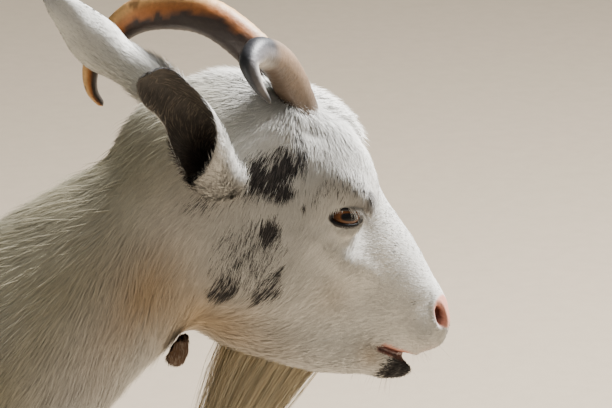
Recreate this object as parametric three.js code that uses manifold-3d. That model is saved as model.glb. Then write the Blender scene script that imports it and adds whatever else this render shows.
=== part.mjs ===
// A life-size standing goat, in millimetres: +X is the way it faces, +Y its left, +Z up.
// Flesh is lofted from rings around smooth centre lines, joined, then parted into the pieces a person names.
import * as THREE from 'three';
import { LoftGeometry } from 'three/addons/geometries/LoftGeometry.js';
import { mergeVertices } from 'three/addons/utils/BufferGeometryUtils.js';
import Module from 'manifold-3d';

const wasm = await Module();
wasm.setup();

// ---------- driving dimensions ----------
const GAP = 0.3; // clearance between neighbouring pieces
const WITHERS = 742; // height of the back over the shoulders
const CORONET = 36; // height where the hair ends and the hoof begins
const EYE_RADIUS = 15;
const EYE_AT = [102, 43, -26]; // in the head's own frame, left side
const HEAD_AT = [474, 46, 880]; // the poll, behind the horns
const NOSE_DOWN = 40; // degrees that the face slopes below level
const HEAD_TURN = 19; // degrees that the head looks to its left
const THROAT_MIDDLE = 33; // the middle of the neck under the jaw, which lies to the left
const WATTLE_SPREAD = 32; // from there to each wattle
const RIGHT = -1;
const LEFT = 1;

const COLOURS = {
  coat: 0xe6e0d0,
  ear_dark: 0x4a423c,
  horn: 0x6f5540,
  hoof: 0x4b4035,
  eye: 0x8a5a22,
  wattle: 0x4a3528,
  beard: 0xd9cfae,
  udder: 0xdcb7a4,
};

// ---------- shaping helpers ----------
const vector = (p) => new THREE.Vector3(...p);

// Points of one closed ring: half-width to the side, and separate reach up and down from its centre.
function ring(centre, side, rise, [wide, up, down], power, count) {
  const points = [];
  for (let i = 0; i < count; i++) {
    const angle = -(i / count) * 2 * Math.PI; // this way round, the loft's faces point out
    const c = Math.cos(angle);
    const s = Math.sin(angle);
    const across = wide * Math.sign(s) * Math.abs(s) ** (2 / power);
    const reach = c > 0 ? up : down;
    const along = reach * Math.sign(c) * Math.abs(c) ** (2 / power);
    points.push(centre.clone().addScaledVector(side, across).addScaledVector(rise, along));
  }
  return points;
}

// A closed loft. Each station is [x, y, z, wide, up, down]; rings between them follow smooth curves.
// With upright set, every ring stands across X; otherwise it stands across the centre line.
function loft(stations, { count = 16, steps = 16, power = 2, upright = false, grow = 0, move } = {}) {
  const centres = new THREE.CatmullRomCurve3(stations.map((s) => vector(s.slice(0, 3))));
  const sizes = new THREE.CatmullRomCurve3(
    stations.map((s) => vector(s.slice(3, 6))), false, 'catmullrom', 0.5);
  const sections = [];
  for (let i = 0; i <= steps; i++) {
    const t = i / steps;
    const centre = centres.getPoint(t);
    const size = sizes.getPoint(t).toArray().map((v) => Math.max(v, 0.6) + grow);
    const tangent = upright ? new THREE.Vector3(1, 0, 0) : centres.getTangent(t);
    const side = new THREE.Vector3(0, 1, 0).addScaledVector(tangent, -tangent.y).normalize();
    const rise = new THREE.Vector3().crossVectors(tangent, side).normalize();
    const points = ring(centre, side, rise, size, power, count);
    if (move) points.forEach((p) => move(p, centre));
    sections.push(points);
  }
  return solid(new LoftGeometry(sections, { capStart: true, capEnd: true }));
}

// A three.js geometry as a manifold-3d solid with its faces pointing out.
function solid(geometry) {
  const bare = new THREE.BufferGeometry()
    .setAttribute('position', geometry.getAttribute('position'))
    .setIndex(geometry.index);
  const merged = mergeVertices(bare, 1e-4);
  const index = merged.index.array;
  const kept = [];
  for (let i = 0; i < index.length; i += 3) {
    const [a, b, c] = [index[i], index[i + 1], index[i + 2]];
    if (a !== b && b !== c && c !== a) kept.push(a, b, c);
  }
  return new wasm.Manifold(new wasm.Mesh({
    numProp: 3, vertProperties: merged.attributes.position.array, triVerts: new Uint32Array(kept),
  }));
}

const joined = (solids) => solids.reduce((a, b) => a.add(b));
const largest = (s) => s.decompose().sort((a, b) => b.volume() - a.volume())[0];
const mirrored = (s) => s.mirror([0, 1, 0]);

// A flat outline in X and Z, extruded from inner to outer distance on one side of the middle.
function sidePrism(outline, inner, outer, side) {
  const shape = new THREE.Shape();
  shape.moveTo(...outline[0]);
  shape.splineThru([...outline.slice(1), outline[0]].map((p) => new THREE.Vector2(...p)));
  const geometry = new THREE.ExtrudeGeometry(shape, {
    depth: outer - inner, bevelEnabled: false, curveSegments: 2,
  });
  geometry.rotateX(Math.PI / 2); // the outline now lies in X and Z, with its depth towards -Y
  geometry.translate(0, side === LEFT ? outer : -inner, 0);
  return solid(mergeVertices(geometry));
}

function meshOf(name, piece, colour, roughness = 0.8) {
  const { numProp, numVert, vertProperties, triVerts } = piece.getMesh();
  const places = new Float32Array(numVert * 3);
  for (let i = 0; i < numVert; i++) {
    places.set(vertProperties.subarray(i * numProp, i * numProp + 3), i * 3);
  }
  const geometry = new THREE.BufferGeometry()
    .setAttribute('position', new THREE.BufferAttribute(places, 3))
    .setIndex(new THREE.BufferAttribute(new Uint32Array(triVerts), 1));
  geometry.computeVertexNormals();
  const mesh = new THREE.Mesh(
    geometry, new THREE.MeshStandardMaterial({ color: colour, roughness, metalness: 0, flatShading: true }));
  mesh.name = name;
  return mesh;
}

// ---------- the head, in its own frame: +X down the face from the poll, +Z out of the forehead ----------
const headGroup = new THREE.Group();
headGroup.position.set(...HEAD_AT);
headGroup.rotation.order = 'ZYX';
headGroup.rotation.set(0, THREE.MathUtils.degToRad(NOSE_DOWN), THREE.MathUtils.degToRad(HEAD_TURN));
headGroup.updateMatrix();
const headMatrix = headGroup.matrix.elements;

// Swellings of the skull, on the left side: place, reach and lift outwards.
const SWELLINGS = [
  { at: [90, 46, -6], reach: 21, lift: 7 }, // brow over the eye
  { at: [82, 55, -28], reach: 16, lift: 4 }, // rear rim of the eye
  { at: [118, 46, -54], reach: 20, lift: 4 }, // cheek bone
  { at: [128, 38, -22], reach: 14, lift: -4 }, // hollow before the eye
  { at: [62, 50, -105], reach: 34, lift: 5 }, // jaw muscle
  { at: [40, 54, -18], reach: 18, lift: -5 }, // temple
  { at: [160, 34, -62], reach: 24, lift: -3 }, // hollow of the cheek
  { at: [240, 24, -34], reach: 12, lift: 3 }, // nostril wing
  { at: [240, 24, -60], reach: 15, lift: 3 }, // upper lip
];

function swell(p, centre) {
  const outwards = p.clone().sub(centre).normalize();
  for (const { at, reach, lift } of SWELLINGS) {
    const away = Math.hypot(p.x - at[0], Math.abs(p.y) - at[1], p.z - at[2]) / reach;
    p.addScaledVector(outwards, lift * Math.exp(-away * away));
  }
}

const skull = (grow = 0) => loft([
  [-36, 0, -60, 12, 14, 20],
  [-28, 0, -56, 34, 33, 44],
  [-8, 0, -50, 46, 54, 74],
  [20, 0, -45, 52, 70, 92],
  [50, 0, -42, 55, 80, 100],
  [80, 0, -40, 57, 81, 102],
  [105, 0, -42, 54, 75, 90],
  [130, 0, -46, 46, 62, 74],
  [150, 0, -50, 39.5, 57.5, 60],
  [175, 0, -50, 34, 51, 44],
  [200, 0, -48, 30.5, 41, 33],
  [220, 0, -47, 29, 32, 28],
  [236, 0, -46, 27.5, 23.5, 24],
  [248, 0, -47, 23.5, 16.5, 18],
  [256, 0, -50, 17, 8.5, 12.5],
  [261, 0, -53, 9, 4.5, 6],
], { count: 20, steps: 23, power: 2.25, upright: true, grow, move: swell });

const jaw = (grow = 0) => loft([
  [45, 0, -100, 26, 16, 22],
  [60, 0, -100, 38, 40, 37],
  [90, 0, -102, 40, 44, 40],
  [120, 0, -102, 36, 42, 36],
  [150, 0, -99, 31, 38, 33],
  [180, 0, -93, 27, 28, 29],
  [204, 0, -87, 24, 14, 23],
  [222, 0, -84, 21.5, 6.5, 16.5],
  [237, 0, -82, 18, 5, 12],
  [246, 0, -81, 12.5, 4.5, 8],
  [250, 0, -80.5, 5, 3, 4],
], { count: 14, steps: 12, power: 2.2, upright: true, grow });

function ball(at, radii, across = 12, rows = 8) {
  return solid(new THREE.SphereGeometry(1, across, rows).scale(...radii).translate(...at));
}

const eyeball = (side, grow = 0) => ball(
  [EYE_AT[0], EYE_AT[1] * side, EYE_AT[2]], Array(3).fill(EYE_RADIUS + grow), 12, 8);

// Hollows: the opening between the lids over each eye, and the nostrils, which run back from the muzzle.
const LID_OPENING = { at: [EYE_AT[0], 58, EYE_AT[2]], radii: [14, 11, 8.5] };
const NOSTRIL = { at: [255, 15, -40], radii: [12, 4.5, 7] };
const hollow = ({ at: [x, y, z], radii }, side) => ball([x, y * side, z], radii, 12, 8);

// Each ear's spine runs out of the head. The cup opens from `open[0]` at the root to `open[1]` at the tip.
// Widths are half of the way across the leaf, at shares of the way to the tip.
const EARS = {
  right: {
    spine: [[30, 36, -48], [8, 54, -52], [-24, 72, -50], [-62, 86, -44], [-98, 93, -38], [-113, 95, -34]],
    open: [[-0.8, -0.25, -0.5], [-0.35, 0.93, -0.1]],
    widths: [[0, 26], [0.2, 28], [0.42, 26], [0.65, 24], [0.88, 18], [1, 6]],
  },
  left: {
    spine: [[26, 36, -32], [9, 50, -24], [-13, 60, -20], [-51, 67, -21], [-87, 71, -16], [-111, 73, -14]],
    open: [[0.57, 0.81, 0.08], [0.57, 0.81, 0.08]],
    widths: [[0, 18], [0.2, 23], [0.45, 27], [0.62, 26], [0.83, 16], [1, 6]],
  },
};
const EAR_WRAPS = [[0, 2.5], [0.2, 2.0], [0.45, 1.35], [0.7, 1.05], [1, 0.7]]; // half angle of the cup
const EAR_THICK = 3.2;
const EAR_ROWS = 10;
const EAR_ACROSS = 7; // points across the back, and again across the inside
const EAR_INNER_REACH = 0.97; // how far the inside goes towards the rims

const valueAt = (rows, t) => new THREE.SplineCurve(rows.map((p) => new THREE.Vector2(...p))).getPoint(t).y;

// One ear, cupped like a leaf: rings of a thin crescent that close to a tube at the root.
function ear({ spine, open, widths }, side) {
  const onSide = ([x, y, z]) => new THREE.Vector3(x, y * side, z);
  const curve = new THREE.CatmullRomCurve3(spine.map(onSide));
  const sections = [];
  for (let i = 0; i <= EAR_ROWS; i++) {
    const t = i / EAR_ROWS;
    const centre = curve.getPoint(t);
    const tangent = curve.getTangent(t);
    const face = onSide(open[0]).lerp(onSide(open[1]), THREE.MathUtils.smoothstep(t, 0.1, 0.7));
    face.addScaledVector(tangent, -face.dot(tangent)).normalize();
    const across = new THREE.Vector3().crossVectors(tangent, face).normalize();
    const wrap = valueAt(EAR_WRAPS, t);
    const radius = valueAt(widths, t) / wrap;
    const backAngles = Array.from({ length: EAR_ACROSS }, (_, j) => (1 - 2 * j / (EAR_ACROSS - 1)) * wrap);
    const at = (r, angle) => centre.clone()
      .addScaledVector(across, r * Math.sin(angle))
      .addScaledVector(face, -r * Math.cos(angle));
    const innerRadius = radius - Math.min(EAR_THICK, radius * 0.45);
    sections.push([
      ...backAngles.map((angle) => at(radius, angle)),
      ...backAngles.reverse().map((angle) => at(innerRadius, angle * EAR_INNER_REACH)),
    ]);
  }
  return solid(new LoftGeometry(sections, { capStart: true, capEnd: true }));
}

// Horn centre lines in the head's frame, each point with half the width across, then the reach to the
// inner side of the curl and to its outer side. The right horn is shorter and curls more tightly.
const HORNS = {
  right: [
    [58, -20, -12, 11, 13, 14], [48, -22, 10, 11, 13, 14], [29, -27, 21, 10.5, 12, 13],
    [3, -38, 28, 10, 11, 12], [-23, -54, 27, 9, 10, 10.5], [-40, -68, 21, 8, 8.5, 9],
    [-45, -78, 12, 6.2, 6, 6.5], [-37, -84, 5, 4, 4.2, 4.4], [-20, -85, 0, 1.6, 1.6, 1.6],
  ],
  left: [
    [62, 20, -12, 11, 13, 14], [54, 22, 12, 11, 13, 14], [42, 27, 28, 11, 13, 13.5],
    [15, 38, 36, 10.5, 12.5, 13], [-8, 54, 35, 10, 12, 13.5], [-21, 70, 26, 9.5, 11.5, 14],
    [-32, 82, 12, 8.5, 10.5, 14.5], [-36, 92, -12, 7, 8, 10.5], [-31, 98, -35, 5, 5.5, 6],
    [-21, 99, -45, 3.6, 4, 4], [-8, 98, -49, 2.2, 2.5, 2.5],
  ],
};
const horn = (stations) => loft(stations, { count: 10, steps: 13 });

const wattle = (side) => loft([
  [427, 0, 758, 7, 7, 7], [428, 0, 744, 8.6, 8.6, 8.6], [430, 0, 729, 10, 10, 10],
  [432, 0, 716, 9, 9, 9], [433, 0, 708, 5, 5, 5],
].map(([x, , z, ...size]) => [x, THROAT_MIDDLE + WATTLE_SPREAD * side, z, ...size]), { count: 10, steps: 8 });

const beard = () => loft([
  [145, 0, -92, 15, 43, 43], [146, 0, -120, 17, 41, 41], [149, 0, -152, 17, 37, 37],
  [153, 0, -186, 14, 29, 29], [158, 0, -214, 9, 18, 18], [162, 0, -236, 3, 6, 6],
], { count: 10, steps: 9 });

// ---------- trunk, neck, tail ----------
const trunk = (grow = 0) => loft([
  [-448, 0, 640, 20, 16, 20],
  [-436, 0, 638, 48, 38, 48],
  [-400, 0, 630, 84, 74, 86],
  [-340, 0, 612, 114, 117, 122],
  [-270, 0, 588, 134, 148, 156],
  [-195, 0, 556, 152, 169, 176],
  [-100, 0, 540, 162, 176, 184],
  [0, 0, 542, 156, 176, 176],
  [100, 0, 560, 136, 172, 174],
  [180, 0, 578, 122, WITHERS - 578, 180],
  [235, 0, 580, 104, 130, 160],
  [280, 0, 584, 86, 96, 126],
  [318, 0, 590, 60, 66, 84],
  [338, 0, 592, 32, 40, 46],
], { count: 20, steps: 17, power: 2.15, upright: true, grow });

const neck = (grow = 0) => loft([
  [140, 0, 590, 108, 118, 134],
  [205, 0, 636, 97, 98, 128],
  [260, 5, 678, 83, 88, 110],
  [321, 12, 721, 66, 78, 86],
  [379, 22, 759, 54, 73, 73],
  [428, 33, 790, 50, 68, 69],
  [455, 40, 812, 46, 58, 60],
  [478, 48, 832, 26, 36, 36],
], { count: 16, steps: 10, power: 2.1, grow });

const tail = () => loft([
  [-410, 0, 690, 18, 16, 16],
  [-438, 0, 710, 24, 18, 17],
  [-466, 0, 740, 26, 18, 16],
  [-484, 0, 780, 20, 14, 13],
  [-491, 0, 812, 9, 7, 7],
], { count: 12, steps: 8 });

const teat = (side) => loft([
  [-268, 24, 405, 12, 12, 12], [-262, 28, 380, 10, 10, 10], [-258, 30, 356, 7, 7, 7],
  [-257, 30, 348, 3, 3, 3],
].map(([x, y, ...rest]) => [x, y * side, ...rest]), { count: 8, steps: 5 });
const udder = () => joined([ball([-285, 0, 425], [62, 46, 48], 10, 7), teat(LEFT), teat(RIGHT)]);

// ---------- legs, left side; `stride` moves the foot forward and the joints above it less ----------
const FORELEG = [
  [150, 66, 700, 14, 20, 20], [158, 76, 662, 26, 46, 44], [182, 88, 590, 36, 68, 66],
  [200, 92, 520, 40, 68, 70], [186, 90, 452, 36, 48, 56], [182, 86, 380, 29, 33, 38],
  [186, 82, 305, 22, 23, 26], [191, 80, 258, 20, 21, 20], [192, 79, 232, 20.5, 22, 20],
  [188, 78, 200, 16.5, 17, 17], [185, 77, 145, 14.5, 15, 15], [185, 77, 104, 17, 17, 18],
  [189, 77, 84, 18, 18, 19], [199, 77, 58, 17, 17, 18], [207, 77, CORONET, 21, 24, 21],
];
const HINDLEG = [
  [-292, 62, 690, 20, 36, 36], [-298, 80, 640, 36, 72, 70], [-298, 94, 565, 46, 90, 88],
  [-288, 98, 490, 44, 84, 84], [-286, 96, 425, 36, 62, 56], [-318, 92, 365, 28, 40, 36],
  [-358, 87, 312, 20, 26, 24], [-386, 84, 272, 18, 24, 22], [-392, 83, 240, 17.5, 22, 20],
  [-388, 82, 205, 15.5, 18, 17], [-382, 81, 150, 14, 15, 15], [-378, 81, 106, 17, 17, 18],
  [-373, 81, 86, 18, 18, 19], [-361, 81, 58, 17, 17, 18], [-353, 81, CORONET, 21, 24, 21],
];
const SWING_FROM = 470; // above this height a stride moves nothing

function strode(stations, stride) {
  return stations.map(([x, y, z, ...size]) => {
    const share = THREE.MathUtils.clamp((SWING_FROM - z) / (SWING_FROM - CORONET), 0, 1);
    return [x + stride * share, y, z, ...size];
  });
}

// Side outlines of the region that belongs to each leg, wide of the shank and round the muscle above it.
const FORE_REGION = [
  [140, 712], [196, 690], [250, 610], [280, 520], [262, 440], [290, 300], [330, 20], [100, 20], [110, 300],
  [118, 420], [96, 500], [100, 600],
];
const HIND_REGION = [
  [-262, 716], [-214, 620], [-186, 520], [-190, 440], [-230, 330], [-240, 20], [-470, 20], [-460, 300],
  [-404, 470], [-402, 560], [-372, 650], [-320, 706],
];
const FETLOCK = -3; // its place from the end of a leg's stations
const DEWCLAW = { radii: [5, 4.5, 8], back: 20, apart: 9, up: 2 }; // up and back from the fetlock
const OUTER_REACH = 220; // past the outermost flesh
const FORE = { stations: FORELEG, region: FORE_REGION, inner: 40 };
const HIND = { stations: HINDLEG, region: HIND_REGION, inner: 34 };
const LEGS = [
  { name: 'foreleg_left', ...FORE, side: LEFT, stride: 34 },
  { name: 'foreleg_right', ...FORE, side: RIGHT, stride: -14 },
  { name: 'hindleg_left', ...HIND, side: LEFT, stride: -38 },
  { name: 'hindleg_right', ...HIND, side: RIGHT, stride: 18 },
].map((leg) => ({ ...leg, path: strode(leg.stations, leg.stride) }));
const NECK_ROOT = [225, 0, 640];
const NECK_RISE = 38; // degrees that the neck's root leans back from upright

function legLoft({ path, side }, grow = 0) {
  const [x, y, z] = path.at(FETLOCK);
  const { radii, back, apart, up } = DEWCLAW;
  const dewclaws = [-1, 1].map((way) => ball([x - back, y + apart * way, z + up], radii, 6, 4));
  const made = joined([loft(path, { count: 10, steps: 15, grow }), ...dewclaws]);
  const [footX, footY] = path.at(-1);
  const belowHair = new THREE.BoxGeometry(200, 100, 100).translate(footX, footY, CORONET - 50 - grow);
  const cut = largest(made.subtract(solid(belowHair)));
  return side === LEFT ? cut : mirrored(cut);
}

// An outline with every point moved outwards from its middle, to leave a clearance.
function grownOutline(outline, by) {
  const middle = outline.reduce(([a, b], [x, z]) => [a + x, b + z], [0, 0]).map((v) => v / outline.length);
  return outline.map(([x, z]) => {
    const out = new THREE.Vector2(x - middle[0], z - middle[1]);
    return out.setLength(out.length() + 2 * by).add(new THREE.Vector2(...middle)).toArray();
  });
}

// Rings of a claw from the sole up: height, half its length, how far back it leans, and half its width.
const CLAW_LEVELS = [[0, 27, 0, 10.6], [10, 26, -1, 10.8], [24, 23, -4, 10.2], [CORONET - GAP, 20, -7, 9.6]];
const CLAW_AROUND = 10;
const TOE_TAPER = 0.45; // share of the width lost at the toe
const CLAW_SPREAD = 12.4; // from the middle of the foot to the middle of each claw
const CLAW_FORWARD = 7;

// One claw of a cloven hoof, with its sole on the floor and its toe forward.
function claw([x, y]) {
  const sections = CLAW_LEVELS.map(([z, half, back, wide]) => {
    const points = [];
    for (let i = 0; i < CLAW_AROUND; i++) {
      const angle = (i / CLAW_AROUND) * 2 * Math.PI;
      const forward = Math.cos(angle);
      const taper = 1 - TOE_TAPER * Math.max(forward, 0) ** 2;
      points.push(new THREE.Vector3(
        x + back + half * forward, y + wide * taper * Math.sin(angle), z));
    }
    return points;
  });
  return solid(new LoftGeometry(sections, { capStart: true, capEnd: true }));
}

// ---------- build ----------
const body = new THREE.Group();
const intoBody = (piece) => piece.transform(headMatrix); // from the head's frame to the body's
const SIDES = [['left', LEFT], ['right', RIGHT]];

function add(group, name, piece, colour, roughness) {
  group.add(meshOf(name, largest(piece), colour, roughness));
}

function buildHead() {
  const grown = joined([skull(GAP), jaw(GAP)]);
  let head = joined([skull(), jaw()]);
  for (const [, side] of SIDES) {
    const hollows = joined([eyeball(side, GAP), hollow(LID_OPENING, side), hollow(NOSTRIL, side)]);
    head = head.subtract(hollows);
  }
  add(headGroup, 'head', head, COLOURS.coat);
  for (const [word, side] of SIDES) {
    add(headGroup, `eye_${word}`, eyeball(side), COLOURS.eye, 0.2);
    add(headGroup, `ear_${word}`, ear(EARS[word], side).subtract(grown), COLOURS.coat);
    add(headGroup, `horn_${word}`, horn(HORNS[word]).subtract(grown), COLOURS.horn, 0.5);
  }
  return intoBody(grown);
}

// The slab of space in front of the plane that parts the neck from the trunk.
function beforeShoulder(shift) {
  const size = 900;
  const box = new THREE.BoxGeometry(size, size, size)
    .translate(size / 2 + shift, 0, 0)
    .rotateY(-THREE.MathUtils.degToRad(NECK_RISE))
    .translate(...NECK_ROOT);
  return solid(box);
}

function buildBody(headGrown) {
  let rest = joined([trunk(), neck(), ...LEGS.map((leg) => legLoft(leg))]).subtract(headGrown);
  for (const { name, side, region, inner } of LEGS) {
    add(body, name, rest.intersect(sidePrism(region, inner + GAP, OUTER_REACH, side)), COLOURS.coat);
    rest = rest.subtract(sidePrism(grownOutline(region, GAP), inner, OUTER_REACH + 1, side));
  }
  add(body, 'neck', rest.intersect(beforeShoulder(GAP)), COLOURS.coat);
  add(body, 'trunk', rest.subtract(beforeShoulder(0)), COLOURS.coat);

  const trunkGrown = joined([trunk(GAP), ...LEGS.map((leg) => legLoft(leg, GAP))]);
  add(body, 'tail', tail().subtract(trunkGrown), COLOURS.coat);
  add(body, 'udder', udder().subtract(trunkGrown), COLOURS.udder);
  const neckGrown = neck(GAP);
  add(body, 'beard', intoBody(beard()).subtract(headGrown).subtract(neckGrown), COLOURS.beard);
  for (const [word, side] of SIDES) {
    add(body, `wattle_${word}`, wattle(side).subtract(headGrown).subtract(neckGrown), COLOURS.wattle);
  }
}

function buildHooves() {
  for (const { name, path, side } of LEGS) {
    const [x, y] = path.at(-1);
    for (const [word, spread] of [['outer', CLAW_SPREAD], ['inner', -CLAW_SPREAD]]) {
      const piece = claw([x + CLAW_FORWARD, (y + spread) * side]);
      add(body, `hoof_${name}_${word}`, piece, COLOURS.hoof, 0.6);
    }
  }
}

buildBody(buildHead());
buildHooves();
body.add(headGroup);

// The origin is on the floor, under the middle of the whole animal.
const goat = new THREE.Group();
goat.add(body);
const middle = new THREE.Box3().setFromObject(body, true).getCenter(new THREE.Vector3());
body.position.set(-middle.x, -middle.y, 0);

export default goat;
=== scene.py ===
"""A goat, standing still: one skin, its coat in tufts, and its horns, eyes, lashes and hooves."""

import math

import bmesh
import bpy
import numpy as np
from mathutils import Matrix, Vector
from mathutils.bvhtree import BVHTree


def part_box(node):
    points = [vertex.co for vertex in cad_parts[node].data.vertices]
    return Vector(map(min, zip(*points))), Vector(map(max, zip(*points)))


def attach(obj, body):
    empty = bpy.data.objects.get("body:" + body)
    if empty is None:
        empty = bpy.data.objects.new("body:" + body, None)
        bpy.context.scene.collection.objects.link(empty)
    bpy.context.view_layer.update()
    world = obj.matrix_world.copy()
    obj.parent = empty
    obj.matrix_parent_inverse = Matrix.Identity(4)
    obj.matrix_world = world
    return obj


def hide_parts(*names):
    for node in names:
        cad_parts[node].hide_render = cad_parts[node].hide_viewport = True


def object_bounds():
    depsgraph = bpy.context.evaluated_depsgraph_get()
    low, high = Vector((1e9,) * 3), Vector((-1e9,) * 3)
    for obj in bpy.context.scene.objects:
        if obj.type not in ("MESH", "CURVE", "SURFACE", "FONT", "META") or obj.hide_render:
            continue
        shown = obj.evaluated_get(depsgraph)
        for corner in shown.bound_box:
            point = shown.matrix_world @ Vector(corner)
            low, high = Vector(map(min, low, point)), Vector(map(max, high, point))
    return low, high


bl_info = {
    "name": "Standing goat",
    "version": (1, 0, 0),
    "blender": (4, 5, 0),
    "location": "3D View > Sidebar > Goat",
    "description": "Builds a life-size goat with horns, wattles and a beard on its packed frame",
    "category": "Add Mesh",
}

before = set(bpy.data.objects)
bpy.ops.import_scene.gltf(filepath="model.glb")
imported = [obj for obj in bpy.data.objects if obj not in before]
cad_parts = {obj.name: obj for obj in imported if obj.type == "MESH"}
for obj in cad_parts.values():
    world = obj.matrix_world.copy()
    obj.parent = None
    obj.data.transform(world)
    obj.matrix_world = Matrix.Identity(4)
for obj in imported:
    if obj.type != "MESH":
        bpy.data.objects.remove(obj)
CAD_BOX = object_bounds()
MM = 0.001
WELD = 0.01 * MM  # vertices nearer than this are one
SIDES = {"left": 1, "right": -1}
LEG_NAMES = tuple(f"{leg}_{side}" for leg in ("foreleg", "hindleg") for side in SIDES)
FLESH = ("head", "neck", "trunk", "tail", "udder") + LEG_NAMES
EAR_NAMES = ("ear_left", "ear_right")


# ---------- the head's own frame, in millimetres: down the face, to its left, out of the forehead ----------
NOSE_DOWN = math.radians(40)
EYE_AT = np.array([102, 43, -26.0])
EYE_RADIUS = 15.0


def middle(node):
    low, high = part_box(node)
    return np.array((low + high) / 2)


OUTWARD = middle("eye_left") - middle("eye_right")
HEAD_TURN = math.atan2(-OUTWARD[0], OUTWARD[1])
DOWN_FACE = np.array([
    math.cos(NOSE_DOWN) * math.cos(HEAD_TURN),
    math.cos(NOSE_DOWN) * math.sin(HEAD_TURN),
    -math.sin(NOSE_DOWN),
])
TO_LEFT = np.array([-math.sin(HEAD_TURN), math.cos(HEAD_TURN), 0])
HEAD_AXES = np.array([DOWN_FACE, TO_LEFT, np.cross(DOWN_FACE, TO_LEFT)])
BETWEEN_EYES = (middle("eye_left") + middle("eye_right")) / 2
POLL = BETWEEN_EYES - (EYE_AT * [1, 0, 1]) @ HEAD_AXES * MM


def in_head(points):
    """Points in metres in the row frame, as millimetres in the head's frame."""
    return (np.asarray(points, float) - POLL) @ HEAD_AXES.T / MM


def from_head(points):
    return POLL + np.asarray(points, float) @ HEAD_AXES * MM


def folded(local):
    """Places in the head's frame with the middle number out from the middle, on both sides."""
    return np.stack([local[:, 0], np.abs(local[:, 1]), local[:, 2]], -1)


def hump(place, at, half):
    """A soft lump that is 1 at its middle, from the distance in half sizes."""
    u, v, w = (((place - at) / half) ** 2).T
    return np.exp(-(u + v + w))


# ---------- numbers, noise and curves ----------
def unit(vectors):
    vectors = np.asarray(vectors, float)
    return vectors / np.maximum(np.linalg.norm(vectors, axis=-1, keepdims=True), 1e-12)


def dot(a, b):
    return (a * b).sum(-1)


def eased(value, low, high):
    """0 below low, 1 above high, and a smooth step between."""
    t = np.clip((value - low) / (high - low), 0, 1)
    return t * t * (3 - 2 * t)


def columns(*parts):
    return np.stack(np.broadcast_arrays(*parts), -1)


def blended(a, b, share):
    share = np.asarray(share)[..., None]
    return a * (1 - share) + b * share


def linear(red, green, blue):
    """A colour from its usual 0 to 255 numbers, as linear light."""
    c = np.array([red, green, blue]) / 255
    return np.where(c <= 0.04045, c / 12.92, ((c + 0.055) / 1.055) ** 2.4)


def lattice(cells, seed):
    """An even random number from 0 to 1 for each whole-number cell."""
    mixed = (cells[..., 0] * 73856093) ^ (cells[..., 1] * 19349663) ^ (cells[..., 2] * 83492791)
    mixed = (mixed + seed * 2654435761) & 0xFFFFFFFF
    mixed = ((mixed ^ (mixed >> 15)) * 2246822519) & 0xFFFFFFFF
    mixed = ((mixed ^ (mixed >> 13)) * 3266489917) & 0xFFFFFFFF
    return (mixed ^ (mixed >> 16)) / 0xFFFFFFFF


def ripple(points, size, seed):
    """Smooth noise from -1 to 1 with lumps about size across."""
    scaled = np.asarray(points, float) / size
    cell = np.floor(scaled).astype(np.int64)
    part = scaled - cell
    part = part * part * (3 - 2 * part)
    total = 0
    for corner in range(8):
        offset = np.array([corner & 1, corner >> 1 & 1, corner >> 2 & 1])
        weight = np.prod(np.where(offset, part, 1 - part), axis=-1)
        total = total + weight * lattice(cell + offset, seed)
    return total * 2 - 1


def smooth_row(rows, count):
    """Even steps along a smooth curve through rows of numbers, of which the first three are a place."""
    rows = np.array(rows, float)
    gaps = np.linalg.norm(np.diff(rows[:, :3], axis=0), axis=1)
    at = np.concatenate([[0], np.cumsum(gaps)])
    wanted = np.linspace(0, at[-1], count)
    slope = np.gradient(rows, at, axis=0)
    i = np.clip(np.searchsorted(at, wanted, side="right") - 1, 0, len(at) - 2)
    span = (at[i + 1] - at[i])[:, None]
    s = (wanted - at[i])[:, None] / span
    return (
        (2 * s**3 - 3 * s**2 + 1) * rows[i]
        + (s**3 - 2 * s**2 + s) * span * slope[i]
        + (3 * s**2 - 2 * s**3) * rows[i + 1]
        + (s**3 - s**2) * span * slope[i + 1]
    )


def ramp(value, stops):
    """Numbers read off a table of (value, result) pairs."""
    at, result = zip(*stops)
    return np.interp(value, at, result)


# ---------- mesh helpers ----------
def new_object(name, mesh):
    obj = bpy.data.objects.new(name, mesh)
    bpy.context.scene.collection.objects.link(obj)
    return obj


def piece(name, mesh, material, nodes=()):
    """A finished piece of the goat, riding on its one body."""
    obj = new_object(name, mesh)
    mesh.materials.clear()
    mesh.materials.append(material)
    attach(obj, "root")
    if nodes:
        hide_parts(*nodes)
    return obj


def mesh_of(bm, name):
    mesh = bpy.data.meshes.new(name)
    bmesh.ops.recalc_face_normals(bm, faces=bm.faces)
    bm.to_mesh(mesh)
    bm.free()
    mesh.shade_smooth()
    return mesh


def tube(bm, rings, place, ends=True):
    """A loft through rings, an array of steps x points around x 3, in metres.
    place holds three numbers for each point, which its vertex keeps in the layer of that name."""
    steps, around, _ = rings.shape
    layer = bm.verts.layers.float_vector.get("place") or bm.verts.layers.float_vector.new("place")
    made = bmesh.ops.create_grid(bm, x_segments=around, y_segments=steps - 1, size=1)["verts"]
    wrapped = np.concatenate([rings, rings[:, :1]], axis=1).reshape(-1, 3)
    wrapped_place = np.concatenate([place, place[:, :1]], axis=1).reshape(-1, 3)
    for vert, co, at in zip(made, wrapped, wrapped_place):
        vert.co = co
        vert[layer] = at
    bmesh.ops.remove_doubles(bm, verts=made, dist=WELD)
    if ends:
        rims = [e for e in bm.edges if e.is_boundary]
        bmesh.ops.holes_fill(bm, edges=rims, sides=0)
        bmesh.ops.triangulate(bm, faces=[f for f in bm.faces if len(f.verts) > 4])


def read(items, field, width=3, kind=np.float32):
    """Numbers from every item of a mesh, in rows of that width."""
    out = np.empty(len(items) * width, kind)
    items.foreach_get(field, out)
    return out.reshape(-1, width)


def points_of(mesh):
    return read(mesh.vertices, "co").astype(float)


def normals_of(mesh):
    return read(mesh.vertex_normals, "vector").astype(float)


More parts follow.
